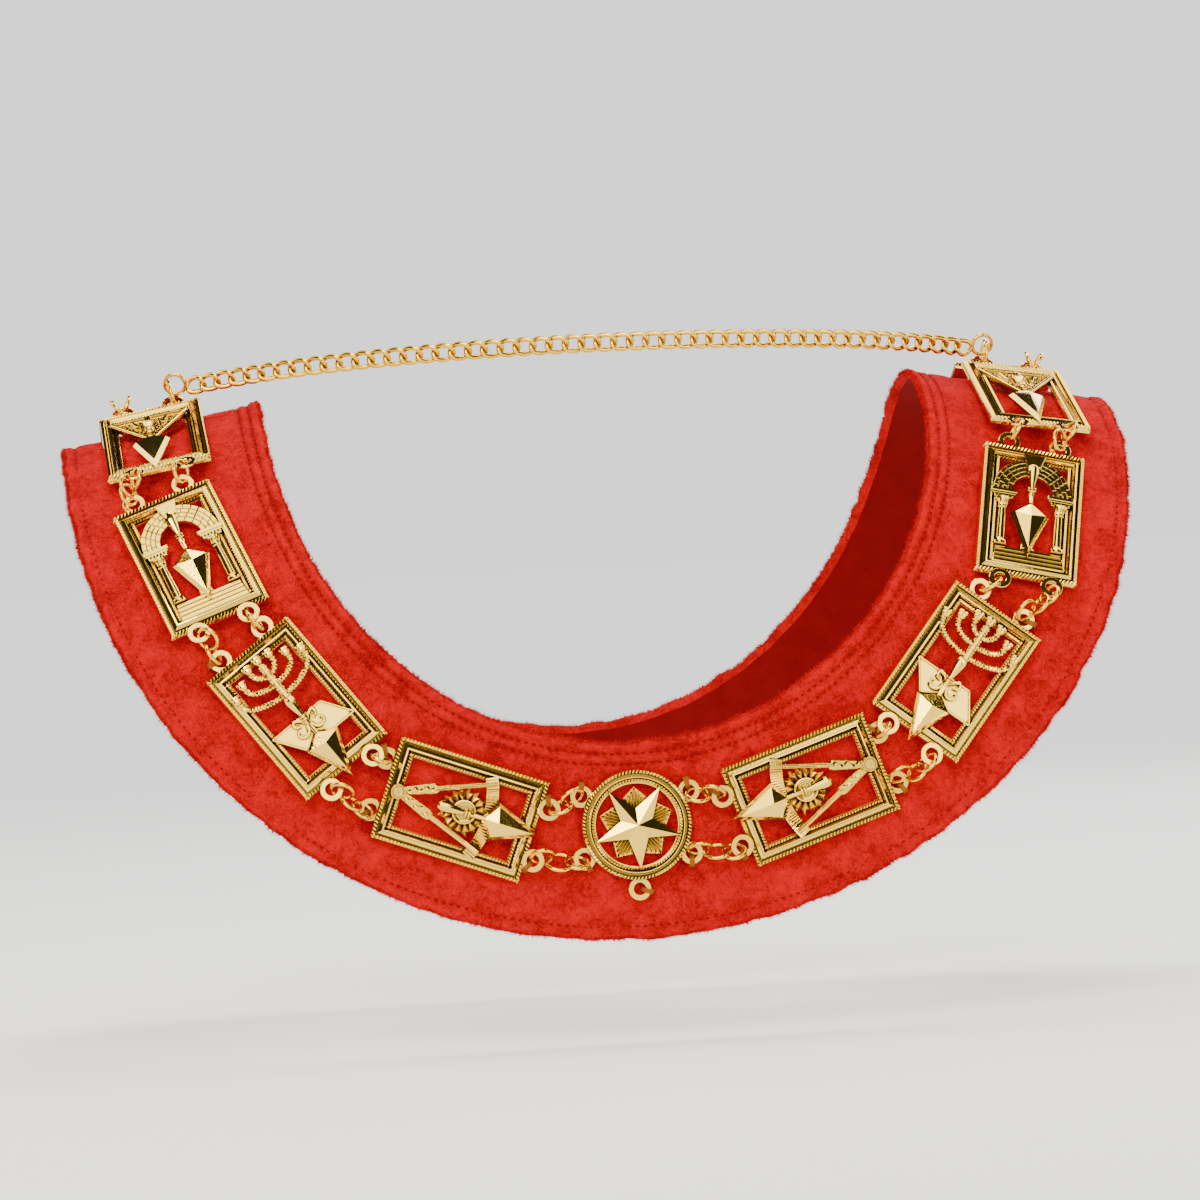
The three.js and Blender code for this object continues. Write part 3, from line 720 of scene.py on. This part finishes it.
def chain_ring(ear, far, inward):
    """The ring that stands on an ear's jump ring, and the point where the chain's first link hangs."""
    (p, normal), (r, other) = ear, far
    side = (r - p).cross(normal + other).normalized()
    raise_ = (normal - normal.project(side)).normalized()
    ahead = raise_.cross(side)
    level = (inward - inward.project(raise_)).normalized()
    on, high, over = CHAIN_RING_SHIFT
    at = p + ahead * on + raise_ * high + level * over
    return (at, level, raise_, RING_R), at + level * FIRST_LINK[0] + raise_ * FIRST_LINK[1]


def chain_route(start, end):
    handle_start = start + CHAIN_HANDLE
    handle_end = end + Vector((-CHAIN_HANDLE.x, CHAIN_HANDLE.y, CHAIN_HANDLE.z))
    return resample(interpolate_bezier(start, handle_start, handle_end, end, 600), ROUTE_STEP)


def curb_link(bm, at, ahead, side, outward, twist=66, steps=24, sides=8):
    """One curb link: an oval of wire whose two ends are turned against each other."""
    long, wide, wire = 4.15, 2.95, 1.0

    def squared(value):
        return math.copysign(abs(value) ** 0.82, value)

    loops = []
    for i in range(steps):
        a = TURN * i / steps
        turn = math.radians(twist) * math.sin(a) * 0.5
        flat = Vector((long * squared(math.sin(a)), wide * squared(math.cos(a)), 0))
        swing = Matrix.Rotation(turn, 3, "X")
        out = swing @ Vector((math.sin(a) * wide, math.cos(a) * long, 0)).normalized()
        centre, lift = swing @ flat, swing @ Vector((0, 0, 1))
        verts = []
        for j in range(sides):
            b = TURN * j / sides
            p = centre + out * math.cos(b) * wire + lift * math.sin(b) * wire * 0.86
            verts.append(bm.verts.new(at + ahead * p.x + side * p.y + outward * p.z))
        loops.append([bm.edges.new((verts[j], verts[(j + 1) % sides])) for j in range(sides)])
    for first, second in zip(loops, loops[1:] + loops[:1]):
        bmesh.ops.bridge_loops(bm, edges=first + second)


def chain_ends():
    inward = Vector((1, -0.35, 0.25))
    left = chain_ring(CASTINGS[14]["back"][0], CASTINGS[13]["on"][0], inward)
    right = chain_ring(CASTINGS[4]["on"][0], CASTINGS[5]["back"][0], Vector((-1, inward.y, inward.z)))
    return left, right


# ---- velvet ------------------------------------------------------------------------------------------
SEAMS = (5.0, 9.2)
OUTER_SEAM = 5.2
EDGE_ROLL = 2.4
FACE_TUFTS, EDGE_TUFTS = 14000, 13000
# shallow creases near the front: x at the lower end, lean, upper and lower z
CREASES = ((58, 0.02, -168, -216), (84, -0.25, -176, -214), (49, -0.1, -146, -178), (-96, 0.3, -160, -206))


def pile_height(distance, width):
    """Height of the cloth's face over its back, by distance from the inner edge."""
    near = min(distance, width - distance)
    height = VELVET
    if near < EDGE_ROLL * 2:
        height += 0.7 * math.sin(math.pi * near / (2 * EDGE_ROLL)) ** 2
    for seam in SEAMS:
        height -= 1.0 * math.exp(-((distance - seam) / 0.8) ** 2)
    height -= 0.6 * math.exp(-((width - distance - OUTER_SEAM) / 0.8) ** 2)
    return height


def velvet_place(q, distance, height):
    width = (collar_point(q, 1) - collar_point(q, 0)).length
    v = distance / width
    return collar_point(q, v) + collar_normal(q, v) * (height - VELVET)


def velvet_mesh(around=720):
    """One closed sheet: face, rolled edges and back, seamed where the loop meets itself."""
    face = [0.0, 0.5, 1.2, 2.0, 2.9, 3.8, 4.4, 4.7, 5.0, 5.3, 5.7, 6.6, 7.6, 8.5, 8.9, 9.2, 9.5, 10.0, 11.2]
    face += [12.4 + 1.75 * i for i in range(33)]
    tail = (7.4, 6.4, 5.8, 5.2, 4.6, 3.8, 2.9, 2.0, 1.2, 0.5, 0.0)
    back_steps = 16
    count = len(face) + len(tail) + back_steps
    bm = bmesh.new()
    grid = bmesh.ops.create_grid(bm, x_segments=around, y_segments=count, size=1)
    for vert in grid["verts"]:
        q = TURN * ((vert.co.x + 1) / 2)
        i = round((vert.co.y + 1) / 2 * count) % count
        width = (collar_point(q, 1) - collar_point(q, 0)).length
        if i < len(face):
            inner = face[i]
            distance = inner if inner < 12 else lerp(12.4, width - 7.9, (inner - 12.4) / (1.75 * 32))
        elif i < len(face) + len(tail):
            distance = width - tail[i - len(face)]
        else:
            k = i - len(face) - len(tail) + 1
            distance = lerp(width - 1.0, 1.0, (k - 0.5) / back_steps)
        v = distance / width
        at, normal = collar_point(q, v), collar_normal(q, v)
        if i >= len(face) + len(tail):
            height = 0.0
        else:
            near = min(distance, width - distance)
            height = pile_height(distance, width)
            if near < 1.2:
                height = lerp(1.2, height, math.sqrt(near / 1.2))
            height += nap_swell(at, near)
        across = (collar_point(q, v + STEP) - at).normalized()
        vert.co = at + normal * (height - VELVET) + across * edge_wave(at, min(distance, width - distance))
        vert.select = i >= len(face) + len(tail)
    for cloth in bm.faces:
        cloth.material_index = int(all(vert.select for vert in cloth.verts))
    bmesh.ops.remove_doubles(bm, verts=bm.verts, dist=1e-4)
    bmesh.ops.recalc_face_normals(bm, faces=bm.faces)
    return bm


def nap():
    """Short leaning tufts of pile over the face and, closer together, along both edges."""
    rng = random.Random(3)
    bm = bmesh.new()

    def tuft(at, lean, normal, length, wide):
        side = normal.cross(lean).normalized() * wide / 2
        back = lean.cross(side)
        a, b, c, tip = (bm.verts.new(p) for p in (at - side, at + side, at + back, at + lean * length))
        for face in ((a, c, b), (a, b, tip), (b, c, tip), (c, a, tip)):
            bm.faces.new(face)

    for face_count, edge_band in ((FACE_TUFTS, None), (EDGE_TUFTS, 0), (EDGE_TUFTS * 1.6, 1)):
        for _ in range(int(face_count)):
            q = TURN * rng.random()
            width = (collar_point(q, 1) - collar_point(q, 0)).length
            if edge_band is None:
                distance = rng.uniform(1, width - 1)
                out = 0.0
            else:
                depth = rng.uniform(0, 1.6)
                distance = depth if edge_band == 0 else width - depth
                out = 1.0 if edge_band else -1.0
            v = distance / width
            normal = collar_normal(q, v)
            near = min(distance, width - distance)
            height = pile_height(distance, width) if near > 1.2 else lerp(0.9, 3.2, math.sqrt(near / 1.2))
            across = (collar_point(q, v + STEP) - collar_point(q, v - STEP)).normalized()
            at = collar_point(q, v)
            at = at + normal * (height - VELVET - 0.25 + nap_swell(at, near)) + across * edge_wave(at, near)
            lay = noise.noise(at / 9) * 6
            along = across.cross(normal)
            swept = across * math.cos(lay) + along * math.sin(lay)
            if edge_band is None:
                lean = (normal * 0.55 + swept * rng.uniform(0.5, 1.3)).normalized()
            else:
                lean = across * out * rng.uniform(0.5, 1.4) + normal * rng.uniform(0, 0.9)
                lean = (lean + along * rng.uniform(-0.7, 0.7)).normalized()
            longest = 1.4 if edge_band is None else 2.3
            tuft(at, lean, normal, rng.uniform(0.7, longest), rng.uniform(0.18, 0.36))
    return bm


def nap_swell(at, near):
    """How far the crushed cloth stands above or below its mean face at that place."""
    start = Vector((3.1, 7.7, 1.3))
    swell = (noise.noise(at / 21 + start) * 0.9 + noise.noise(at / 8 + start) * 0.6) * min(1, near / 6)
    for x, lean, top, low in CREASES:
        share = (at.z - low) / (top - low)
        if at.y < 0 < share < 1:
            aside = (at.x - x - lean * (at.z - low)) / 2.2
            swell -= 1.1 * math.exp(-aside ** 2) * math.sin(math.pi * share)
    return swell


def edge_wave(at, near):
    """How far the sewn edge wanders sideways at that place."""
    return noise.noise(at / 7 + Vector((9.2, 1.1, 4.4))) * 1.1 * max(0, 1 - near / 5)


def stitch_rows():
    """Short stitches sunk along the seams and the outer binding."""
    bm = bmesh.new()
    for seam, from_outer in ((SEAMS[0], False), (SEAMS[1], False), (OUTER_SEAM, True)):
        samples = 1600
        points = []
        for i in range(samples + 1):
            q = TURN * i / samples
            width = (collar_point(q, 1) - collar_point(q, 0)).length
            distance = width - seam if from_outer else seam
            points.append(velvet_place(q, distance, VELVET - 0.45))
        run = resample(points, 1.55)
        for a, b in zip(run[::2], run[1::2]):
            middle = a.lerp(b, 0.5)
            ahead = (b - a).normalized()
            out = Vector((middle.x * 0.2, middle.y, 60)).normalized()
            side = ahead.cross(out).normalized()
            out = side.cross(ahead)
            crown = [middle + side * s * 0.34 + out * 0.2 + ahead * t for s in (-1, 1) for t in (-0.55, 0.55)]
            facet(bm, [a, b] + crown + [middle - out * 0.2])
    return bm


# ---- sewing thread -------------------------------------------------------------------------------------
THREAD_REACH = 4.5  # ears that stand further off the cloth are not sewn


def thread_loops():
    """Bundles of thread that hold the castings' ears down on the velvet."""
    rng = random.Random(11)
    bm = bmesh.new()
    for casting in CASTINGS:
        for pair in (casting["back"], casting["on"]):
            for (ear, normal), (other, _), swing in ((pair[0], pair[1], 1), (pair[1], pair[0], -1)):
                out = (ear - other).normalized()
                out.rotate(Matrix.Rotation(math.radians(rng.uniform(-40, 40)), 3, normal))
                bundle(bm, ear, normal, out, depth_under(ear, normal, casting["q"]), rng)
    front = CASTINGS[0]["matrix"]
    jewel_ear = front @ Vector((0, -JEWEL_EAR_R, EAR_LOW + EAR_T / 2))
    normal = front.to_3x3().col[2].copy()
    out = front.to_3x3() @ Vector((0.95, -0.3, 0))
    bundle(bm, jewel_ear, normal, out, depth_under(jewel_ear, normal, CASTINGS[0]["q"]), rng)
    bmesh.ops.recalc_face_normals(bm, faces=bm.faces)
    return bm


def bundle(bm, ear, normal, out, depth, rng, strands=4):
    """Strands side by side, from under the cloth through an ear's hole and over its rim."""
    if depth > THREAD_REACH:
        return
    across = normal.cross(out)
    for k in range(strands):
        aside = (k - (strands - 1) / 2) * 0.46
        high = EAR_T / 2 + 0.34 + rng.uniform(0, 0.16)
        end = 5.4 + rng.uniform(-0.2, 0.2)
        path = [(0.7, -depth - 0.4), (1.3, -0.2), (1.9, high - 0.1), (2.9, high), (4.0, high),
                (4.8, high - 0.12), (end, -0.3), (end + 0.1, -depth - 0.4)]
        points = [ear + out * x + normal * z + across * (aside * lerp(0.75, 1.15, x / 5)) for x, z in path]
        sweep(bm, points, lambda t, a: 0.3, 6)


def depth_under(point, normal, q0):
    """How far the velvet's face lies under a point, found by a search that narrows."""
    best, found, centre = 1e9, point, (q0, 0.5)
    for reach in (0.3, 0.06, 0.012):
        middle = centre
        for i in range(-8, 9):
            for j in range(-8, 9):
                q, v = middle[0] + reach * i / 8, middle[1] + reach * 1.7 * j / 8
                at = collar_point(q, v)
                gap = point - at
                miss = (gap - gap.project(normal)).length
                if miss < best:
                    best, found, centre = miss, at, (q, v)
    return (point - found).dot(normal)


# ---- materials --------------------------------------------------------------------------------------------
def shade(hex_colour):
    """A screen colour as linear light."""
    parts = [int(hex_colour[i:i + 2], 16) / 255 for i in (0, 2, 4)]
    return [*(c / 12.92 if c <= 0.04045 else ((c + 0.055) / 1.055) ** 2.4 for c in parts), 1]


def add(tree, kind, inputs=None, **settings):
    node = tree.nodes.new(kind)
    for key, value in settings.items():
        setattr(node, key, value)
    for socket, value in (inputs or {}).items():
        if isinstance(value, bpy.types.NodeSocket):
            tree.links.new(value, node.inputs[socket])
        else:
            node.inputs[socket].default_value = value
    return node


def new_material(name):
    material = bpy.data.materials.new(name)
    material.use_nodes = True
    tree = material.node_tree
    shader = tree.nodes["Principled BSDF"]
    place = add(tree, "ShaderNodeTexCoord").outputs["Object"]
    return material, tree, shader, place


def grain(tree, place, size, detail=2, roughness=0.5, distortion=0):
    """Cloudy noise whose patches are about that many millimetres across."""
    scaled = add(tree, "ShaderNodeMapping", {"Vector": place, "Scale": (1 / (size * MM),) * 3})
    return add(tree, "ShaderNodeTexNoise", {"Vector": scaled.outputs[0], "Scale": 1, "Detail": detail,
                                            "Roughness": roughness, "Distortion": distortion}).outputs["Fac"]


def spread(tree, value, low, high, to_low=0.0, to_high=1.0):
    span = {"Value": value, "From Min": low, "From Max": high, "To Min": to_low, "To Max": to_high}
    return add(tree, "ShaderNodeMapRange", span).outputs["Result"]


def blend(tree, share, first, second):
    node = add(tree, "ShaderNodeMix", {"Factor": share}, data_type="RGBA")
    for socket, value in ((6, first), (7, second)):
        if isinstance(value, bpy.types.NodeSocket):
            tree.links.new(value, node.inputs[socket])
        else:
            node.inputs[socket].default_value = value
    return node.outputs[2]


def bump(tree, shader, height, depth):
    node = add(tree, "ShaderNodeBump", {"Height": height, "Distance": depth * MM, "Strength": 1})
    tree.links.new(node.outputs[0], shader.inputs["Normal"])


PAINTED_SHADE_REACH = 1.6  # millimetres within which a wall paints shade on its neighbour's base colour


def gilt(name, tint, rough, dint):
    """Polished gilt brass with a faintly uneven skin, a little dulling in patches and painted shade in its
    recesses.
    """
    # Castings are pressure-cast brass, tumbled, polished and thinly gilt: a mirror that is never quite flat,
    # so reflections break up at every edge, and handling dulls it in patches. Shade is painted into the base
    # colour in the recesses from ambient occlusion. Rings and chain are drawn wire, smoother and gilt a deeper
    # yellow.
    material, tree, shader, place = new_material(name)
    shader.inputs["Metallic"].default_value = 1
    # painted shade: ambient occlusion within a short reach darkens the base colour in recesses and between
    # close walls
    painted_shade_ao = add(tree, "ShaderNodeAmbientOcclusion", {"Distance": PAINTED_SHADE_REACH * MM}, samples=8, only_local=True)
    painted_shade_share = spread(tree, painted_shade_ao.outputs["AO"], 0.25, 0.85)
    deep = [c * 0.16 for c in shade(tint)[:3]] + [1]
    tree.links.new(blend(tree, painted_shade_share, deep, shade(tint)), shader.inputs["Base Color"])
    dull = grain(tree, place, 7, 3)
    tree.links.new(spread(tree, dull, 0.35, 0.7, rough, rough * 1.9), shader.inputs["Roughness"])
    bump(tree, shader, grain(tree, place, 0.9, 2), dint)
    return material


def velvet_material():
    """Crushed cotton velvet: short pile that lies in patches of light and dark red."""
    # Cotton pile about a millimetre long on a woven ground, pressed in many directions: pile that leans away
    # shows its bright sides, pile that leans towards the eye its deep red tips, and edges have a soft sheen.
    material, tree, shader, place = new_material("Crushed red velvet")
    broad = grain(tree, place, 13, 3, 0.55, distortion=0.6)
    crush = grain(tree, place, 3.2, 4, 0.6, distortion=0.9)
    fuzz = grain(tree, place, 0.8, 3, 0.75)
    lay = add(tree, "ShaderNodeMath", {0: broad, 1: crush}, operation="ADD").outputs[0]
    dark = blend(tree, spread(tree, lay, 0.72, 1.02), shade("780004"), shade("AA0008"))
    lit = blend(tree, spread(tree, lay, 1.0, 1.3), dark, shade("C6000A"))
    tree.links.new(blend(tree, spread(tree, fuzz, 0.4, 0.75, 0, 0.6), lit, shade("E4040E")),
                   shader.inputs["Base Color"])
    shader.inputs["Roughness"].default_value = 0.95
    shader.inputs["Specular IOR Level"].default_value = 0.08
    shader.inputs["Sheen Weight"].default_value = 0.1
    shader.inputs["Sheen Roughness"].default_value = 0.45
    shader.inputs["Sheen Tint"].default_value = shade("FF1420")
    tips = spread(tree, fuzz, 0, 1, 0, 0.7)
    height = add(tree, "ShaderNodeMath", {0: crush, 1: tips}, operation="ADD").outputs[0]
    bump(tree, shader, height, 1.5)
    return material


def backing_material():
    """The woven back of the velvet."""
    # The pile's cotton ground shows here without any pile: a close plain weave, matt and a deeper red.
    material, tree, shader, place = new_material("Woven cotton backing")
    weave = grain(tree, place, 0.7, 1)
    tone = blend(tree, grain(tree, place, 9), shade("5E0306"), shade("74060A"))
    tree.links.new(tone, shader.inputs["Base Color"])
    shader.inputs["Roughness"].default_value = 0.95
    shader.inputs["Specular IOR Level"].default_value = 0.1
    bump(tree, shader, weave, 0.25)
    return material


def thread_material(name, tint, deep):
    """Twisted sewing thread."""
    # Waxed cotton of a few plies: matt, darker between the plies, with a fine bumpy surface.
    material, tree, shader, place = new_material(name)
    hue = blend(tree, grain(tree, place, 1.2), shade(tint), shade(deep))
    tree.links.new(hue, shader.inputs["Base Color"])
    shader.inputs["Roughness"].default_value = 0.7
    shader.inputs["Specular IOR Level"].default_value = 0.12
    bump(tree, shader, grain(tree, place, 0.3), 0.15)
    return material


BACKDROP = ("F4F3F1", 1.6)  # colour and strength, shared by the world and the painted glow of the far floor


def floor_material():
    """Matt pale studio paper that glows with painted light."""
    # Seamless paper that runs up into the backdrop: no gloss. It is painted with a glow: faint near the
    # object, rising far off to the backdrop's colour and strength while its own colour fades to black.
    material, tree, shader, place = new_material("Matt studio paper")
    tone = blend(tree, grain(tree, place, 160), shade("DEDCD9"), shade("E6E4E1"))
    far = add(tree, "ShaderNodeVectorMath", {0: place}, operation="LENGTH").outputs["Value"]
    far = spread(tree, far, 0.45, 3.2)
    tree.links.new(blend(tree, far, tone, shade("000000")), shader.inputs["Base Color"])
    shader.inputs["Roughness"].default_value = 0.9
    shader.inputs["Specular IOR Level"].default_value = 0.1
    # painted light: the floor emits, faintly near the object and as brightly as the backdrop far off
    shader.inputs["Emission Color"].default_value = shade(BACKDROP[0])
    tree.links.new(spread(tree, far, 0, 1, 0.45, BACKDROP[1]), shader.inputs["Emission Strength"])
    return material


# ---- stage ------------------------------------------------------------------------------------------------
FLOOR, FLOOR_R = -262, 90000
CAMERA_AT = (1.46, -2120, -88.9)
LENS = 153
AIM = (0, 0, -0.1)
PANELS = 3
PANEL_LIGHT, FLAG_LIGHT = 4.6, 0.04
LOOK = {"yaw": 0.1014, "pitch": 0.0082, "roll": 0.0531, "pivot": -110}


def camera_matrix():
    """The camera's place beside an unturned object, from the object's slight turn before it."""
    pivot = Matrix.Translation((0, 0, LOOK["pivot"]))
    tilt = Matrix.Rotation(-LOOK["roll"], 4, "Y") @ Matrix.Rotation(LOOK["pitch"], 4, "X")
    turned_frame = pivot @ tilt @ pivot.inverted() @ Matrix.Rotation(LOOK["yaw"], 4, "Z")
    seen = Matrix.Translation(CAMERA_AT) @ Matrix.Rotation(math.pi / 2, 4, "X")
    matrix = turned_frame.inverted() @ seen
    matrix.translation *= MM
    return matrix


def area_light(name, at, toward, size, watts, tint="FFFFFF"):
    data = bpy.data.lights.new(name, "AREA")
    data.shape, data.size, data.energy = "DISK", size, watts
    data.color = shade(tint)[:3]
    lamp = bpy.data.objects.new(name, data)
    facing = (Vector(at) - Vector(toward)).to_track_quat("Z", "Y")
    lamp.matrix_world = Matrix.Translation(at) @ facing.to_matrix().to_4x4()
    bpy.context.collection.objects.link(lamp)


def world_light(strength, panel, flag):
    """A pale backdrop along the horizon; above it bright panels with dark flags between them."""
    world = bpy.data.worlds.new("Studio")
    bpy.context.scene.world = world
    world.use_nodes = True
    tree = world.node_tree
    tree.nodes.clear()
    place = add(tree, "ShaderNodeTexCoord").outputs["Generated"]
    split = add(tree, "ShaderNodeSeparateXYZ", {"Vector": place})
    x, y, height = (split.outputs[k] for k in "XYZ")
    turn = add(tree, "ShaderNodeMath", {0: x, 1: y}, operation="ARCTAN2").outputs[0]
    wave = add(tree, "ShaderNodeMath", {0: turn, 1: PANELS}, operation="MULTIPLY").outputs[0]
    wave = add(tree, "ShaderNodeMath", {0: wave}, operation="COSINE").outputs[0]
    start = spread(tree, y, -0.3, 0.3, 0.03, 0.17)
    above = add(tree, "ShaderNodeMath", {0: height, 1: start}, operation="SUBTRACT").outputs[0]
    panels = spread(tree, wave, -0.5, -0.15, panel, flag)
    level = spread(tree, spread(tree, above, 0, 0.05), 0, 1, BACKDROP[1], panels)
    level = add(tree, "ShaderNodeMath", {0: level, 1: strength}, operation="MULTIPLY").outputs[0]
    lit = add(tree, "ShaderNodeBackground", {"Color": shade(BACKDROP[0]), "Strength": level})
    out = add(tree, "ShaderNodeOutputWorld")
    tree.links.new(lit.outputs[0], out.inputs["Surface"])


# ---- settings and operators -----------------------------------------------------------------------------
class ChainSettings(bpy.types.PropertyGroup):
    """What the maker of a collar chooses."""
    casting_polish: bpy.props.FloatProperty(name="Casting polish", default=0.07, min=0.02, max=0.6,
                                            description="Roughness of the polished castings", subtype="FACTOR")
    wire_polish: bpy.props.FloatProperty(name="Wire polish", default=0.1, min=0.02, max=0.6,
                                         description="Roughness of rings and chain", subtype="FACTOR")
    key_light: bpy.props.FloatProperty(name="Key light", default=28, min=0,
                                       description="Main light", unit="POWER")
    surroundings: bpy.props.FloatProperty(name="Surroundings", default=1.0, min=0,
                                          description="Brightness of the light all round")


class VelvetOperator(bpy.types.Operator):
    """Builds the velvet collar with its rolled edges and seams."""
    bl_idname = "regalia.velvet"
    bl_label = "Velvet collar"

    def execute(self, context):
        velvet = piece("velvet_collar_cloth", velvet_mesh(), velvet_material(), 80)
        red_thread = thread_material("Red seam thread", "860000", "560000")
        stitches = piece("seam_stitches", stitch_rows(), red_thread)
        velvet.data.materials.append(backing_material())
        pile = piece("velvet_pile", nap(), velvet.data.materials[0])
        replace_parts(velvet, "velvet_collar")
        return {"FINISHED"}


class CastingsOperator(bpy.types.Operator):
    """Builds the sixteen plaques and two medallions."""
    bl_idname = "regalia.castings"
    bl_label = "Plaques and medallions"

    def execute(self, context):
        metal = gilt("Polished pale gilt brass", "F2C94C", context.scene.regalia.casting_polish, 0.04)
        patterns = {motif: casting_mesh(motif) for motif in (*MOTIFS, "medallion")}
        for casting in CASTINGS:
            body = piece(casting["node"] + "_casting", patterns[casting["motif"]].copy(), metal, 21,
                         casting["matrix"])
            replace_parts(body, casting["node"])
        for bm in patterns.values():
            bm.free()
        return {"FINISHED"}


class RingsOperator(bpy.types.Operator):
    """Builds the jump rings that join the castings' ears."""
    bl_idname = "regalia.rings"
    bl_label = "Jump rings"

    def execute(self, context):
        metal = gilt("Yellow gilt wire", "E8B62C", context.scene.regalia.wire_polish, 0.02)
        for node, places in connections():
            bm = bmesh.new()
            for centre, ahead, raise_, radius in places:
                torus(bm, centre, ahead, raise_, radius)
            bmesh.ops.recalc_face_normals(bm, faces=bm.faces)
            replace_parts(piece(node + "_wire", bm, metal, 80), node)
        return {"FINISHED"}


class ChainOperator(bpy.types.Operator):
    """Builds the curb chain across the nape and its two end rings."""
    bl_idname = "regalia.chain"
    bl_label = "Nape chain"

    def execute(self, context):
        metal = gilt("Yellow gilt chain wire", "E8B62C", context.scene.regalia.wire_polish, 0.02)
        ends = chain_ends()
        for name, (ring, _) in zip(("left", "right"), ends):
            bm = bmesh.new()
            torus(bm, *ring)
            bmesh.ops.recalc_face_normals(bm, faces=bm.faces)
            ring_piece = piece(f"chain_ring_{name}_wire", bm, metal, 80)
            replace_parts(ring_piece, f"chain_ring_{name}")
        route = chain_route(ends[0][1], ends[1][1])
        count = round(ROUTE_STEP * len(route) / CHAIN_PITCH)
        bm = bmesh.new()
        for i in range(count):
            k = round((i + 0.5) / count * (len(route) - 1))
            ahead = (route[k + 1] - route[k - 1]).normalized()
            outward = Vector((0, -1, 0.5))
            outward = (outward - outward.project(ahead)).normalized()
            outward.rotate(Matrix.Rotation(math.radians(34), 3, ahead))
            curb_link(bm, route[k], ahead, outward.cross(ahead), outward)
        bmesh.ops.recalc_face_normals(bm, faces=bm.faces)
        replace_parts(piece("curb_chain_links", bm, metal, 80), "curb_chain")
        return {"FINISHED"}


class ThreadOperator(bpy.types.Operator):
    """Sews the castings' ears to the velvet."""
    bl_idname = "regalia.thread"
    bl_label = "Sewing thread"

    def execute(self, context):
        brown_thread = thread_material("Brown gold sewing thread", "9A5A10", "6E3A08")
        piece("sewing_thread", thread_loops(), brown_thread, 60)
        return {"FINISHED"}


class StageOperator(bpy.types.Operator):
    """Sets up the floor, the lights and the camera."""
    bl_idname = "regalia.stage"
    bl_label = "Stage"

    def execute(self, context):
        settings = context.scene.regalia
        bm = bmesh.new()
        bmesh.ops.create_circle(bm, cap_ends=True, radius=FLOOR_R, segments=96)
        ground = Matrix.Scale(MM, 4) @ Matrix.Translation((0, 0, FLOOR))
        bmesh.ops.transform(bm, matrix=ground, verts=bm.verts)
        mesh = bpy.data.meshes.new("floor")
        bm.to_mesh(mesh)
        bm.free()
        mesh.materials.append(floor_material())
        floor = bpy.data.objects.new("floor", mesh)
        context.collection.objects.link(floor)
        area_light("Key", (-0.9, -1.5, 1.0), AIM, 0.9, settings.key_light, "FFF8F0")
        area_light("Fill", (1.5, -1.3, 0.2), AIM, 0.8, settings.key_light * 0.35, "F4F8FF")
        area_light("Top", (0.1, 0.3, 1.4), AIM, 0.8, settings.key_light * 0.5)
        area_light("Rear", (0.8, 1.7, 0.7), AIM, 1.0, settings.key_light * 0.5)
        world_light(settings.surroundings, PANEL_LIGHT, FLAG_LIGHT)
        camera = bpy.data.objects.new("Camera", bpy.data.cameras.new("Camera"))
        camera.data.lens = LENS
        camera.data.clip_start, camera.data.clip_end = 0.05, 200
        camera.matrix_world = camera_matrix()
        context.collection.objects.link(camera)
        context.scene.camera = camera
        return {"FINISHED"}


class RegaliaPanel(bpy.types.Panel):
    """One button for each piece, and the choices above them."""
    bl_label = "Chain of office"
    bl_idname = "VIEW3D_PT_regalia"
    bl_space_type = "VIEW_3D"
    bl_region_type = "UI"
    bl_category = "Regalia"

    def draw(self, context):
        for prop in ("casting_polish", "wire_polish", "key_light", "surroundings"):
            self.layout.prop(context.scene.regalia, prop)
        for operator in OPERATORS:
            self.layout.operator(operator.bl_idname)


OPERATORS = (VelvetOperator, CastingsOperator, RingsOperator, ChainOperator, ThreadOperator, StageOperator)
CLASSES = (ChainSettings, *OPERATORS, RegaliaPanel)


def register():
    for cls in CLASSES:
        bpy.utils.register_class(cls)
    bpy.types.Scene.regalia = bpy.props.PointerProperty(type=ChainSettings)


def unregister():
    del bpy.types.Scene.regalia
    for cls in reversed(CLASSES):
        bpy.utils.unregister_class(cls)


def main():
    register()
    for operator in OPERATORS:
        group, name = operator.bl_idname.split(".")
        getattr(getattr(bpy.ops, group), name)()
    bpy.context.view_layer.update()


if __name__ == "__main__":
    main()
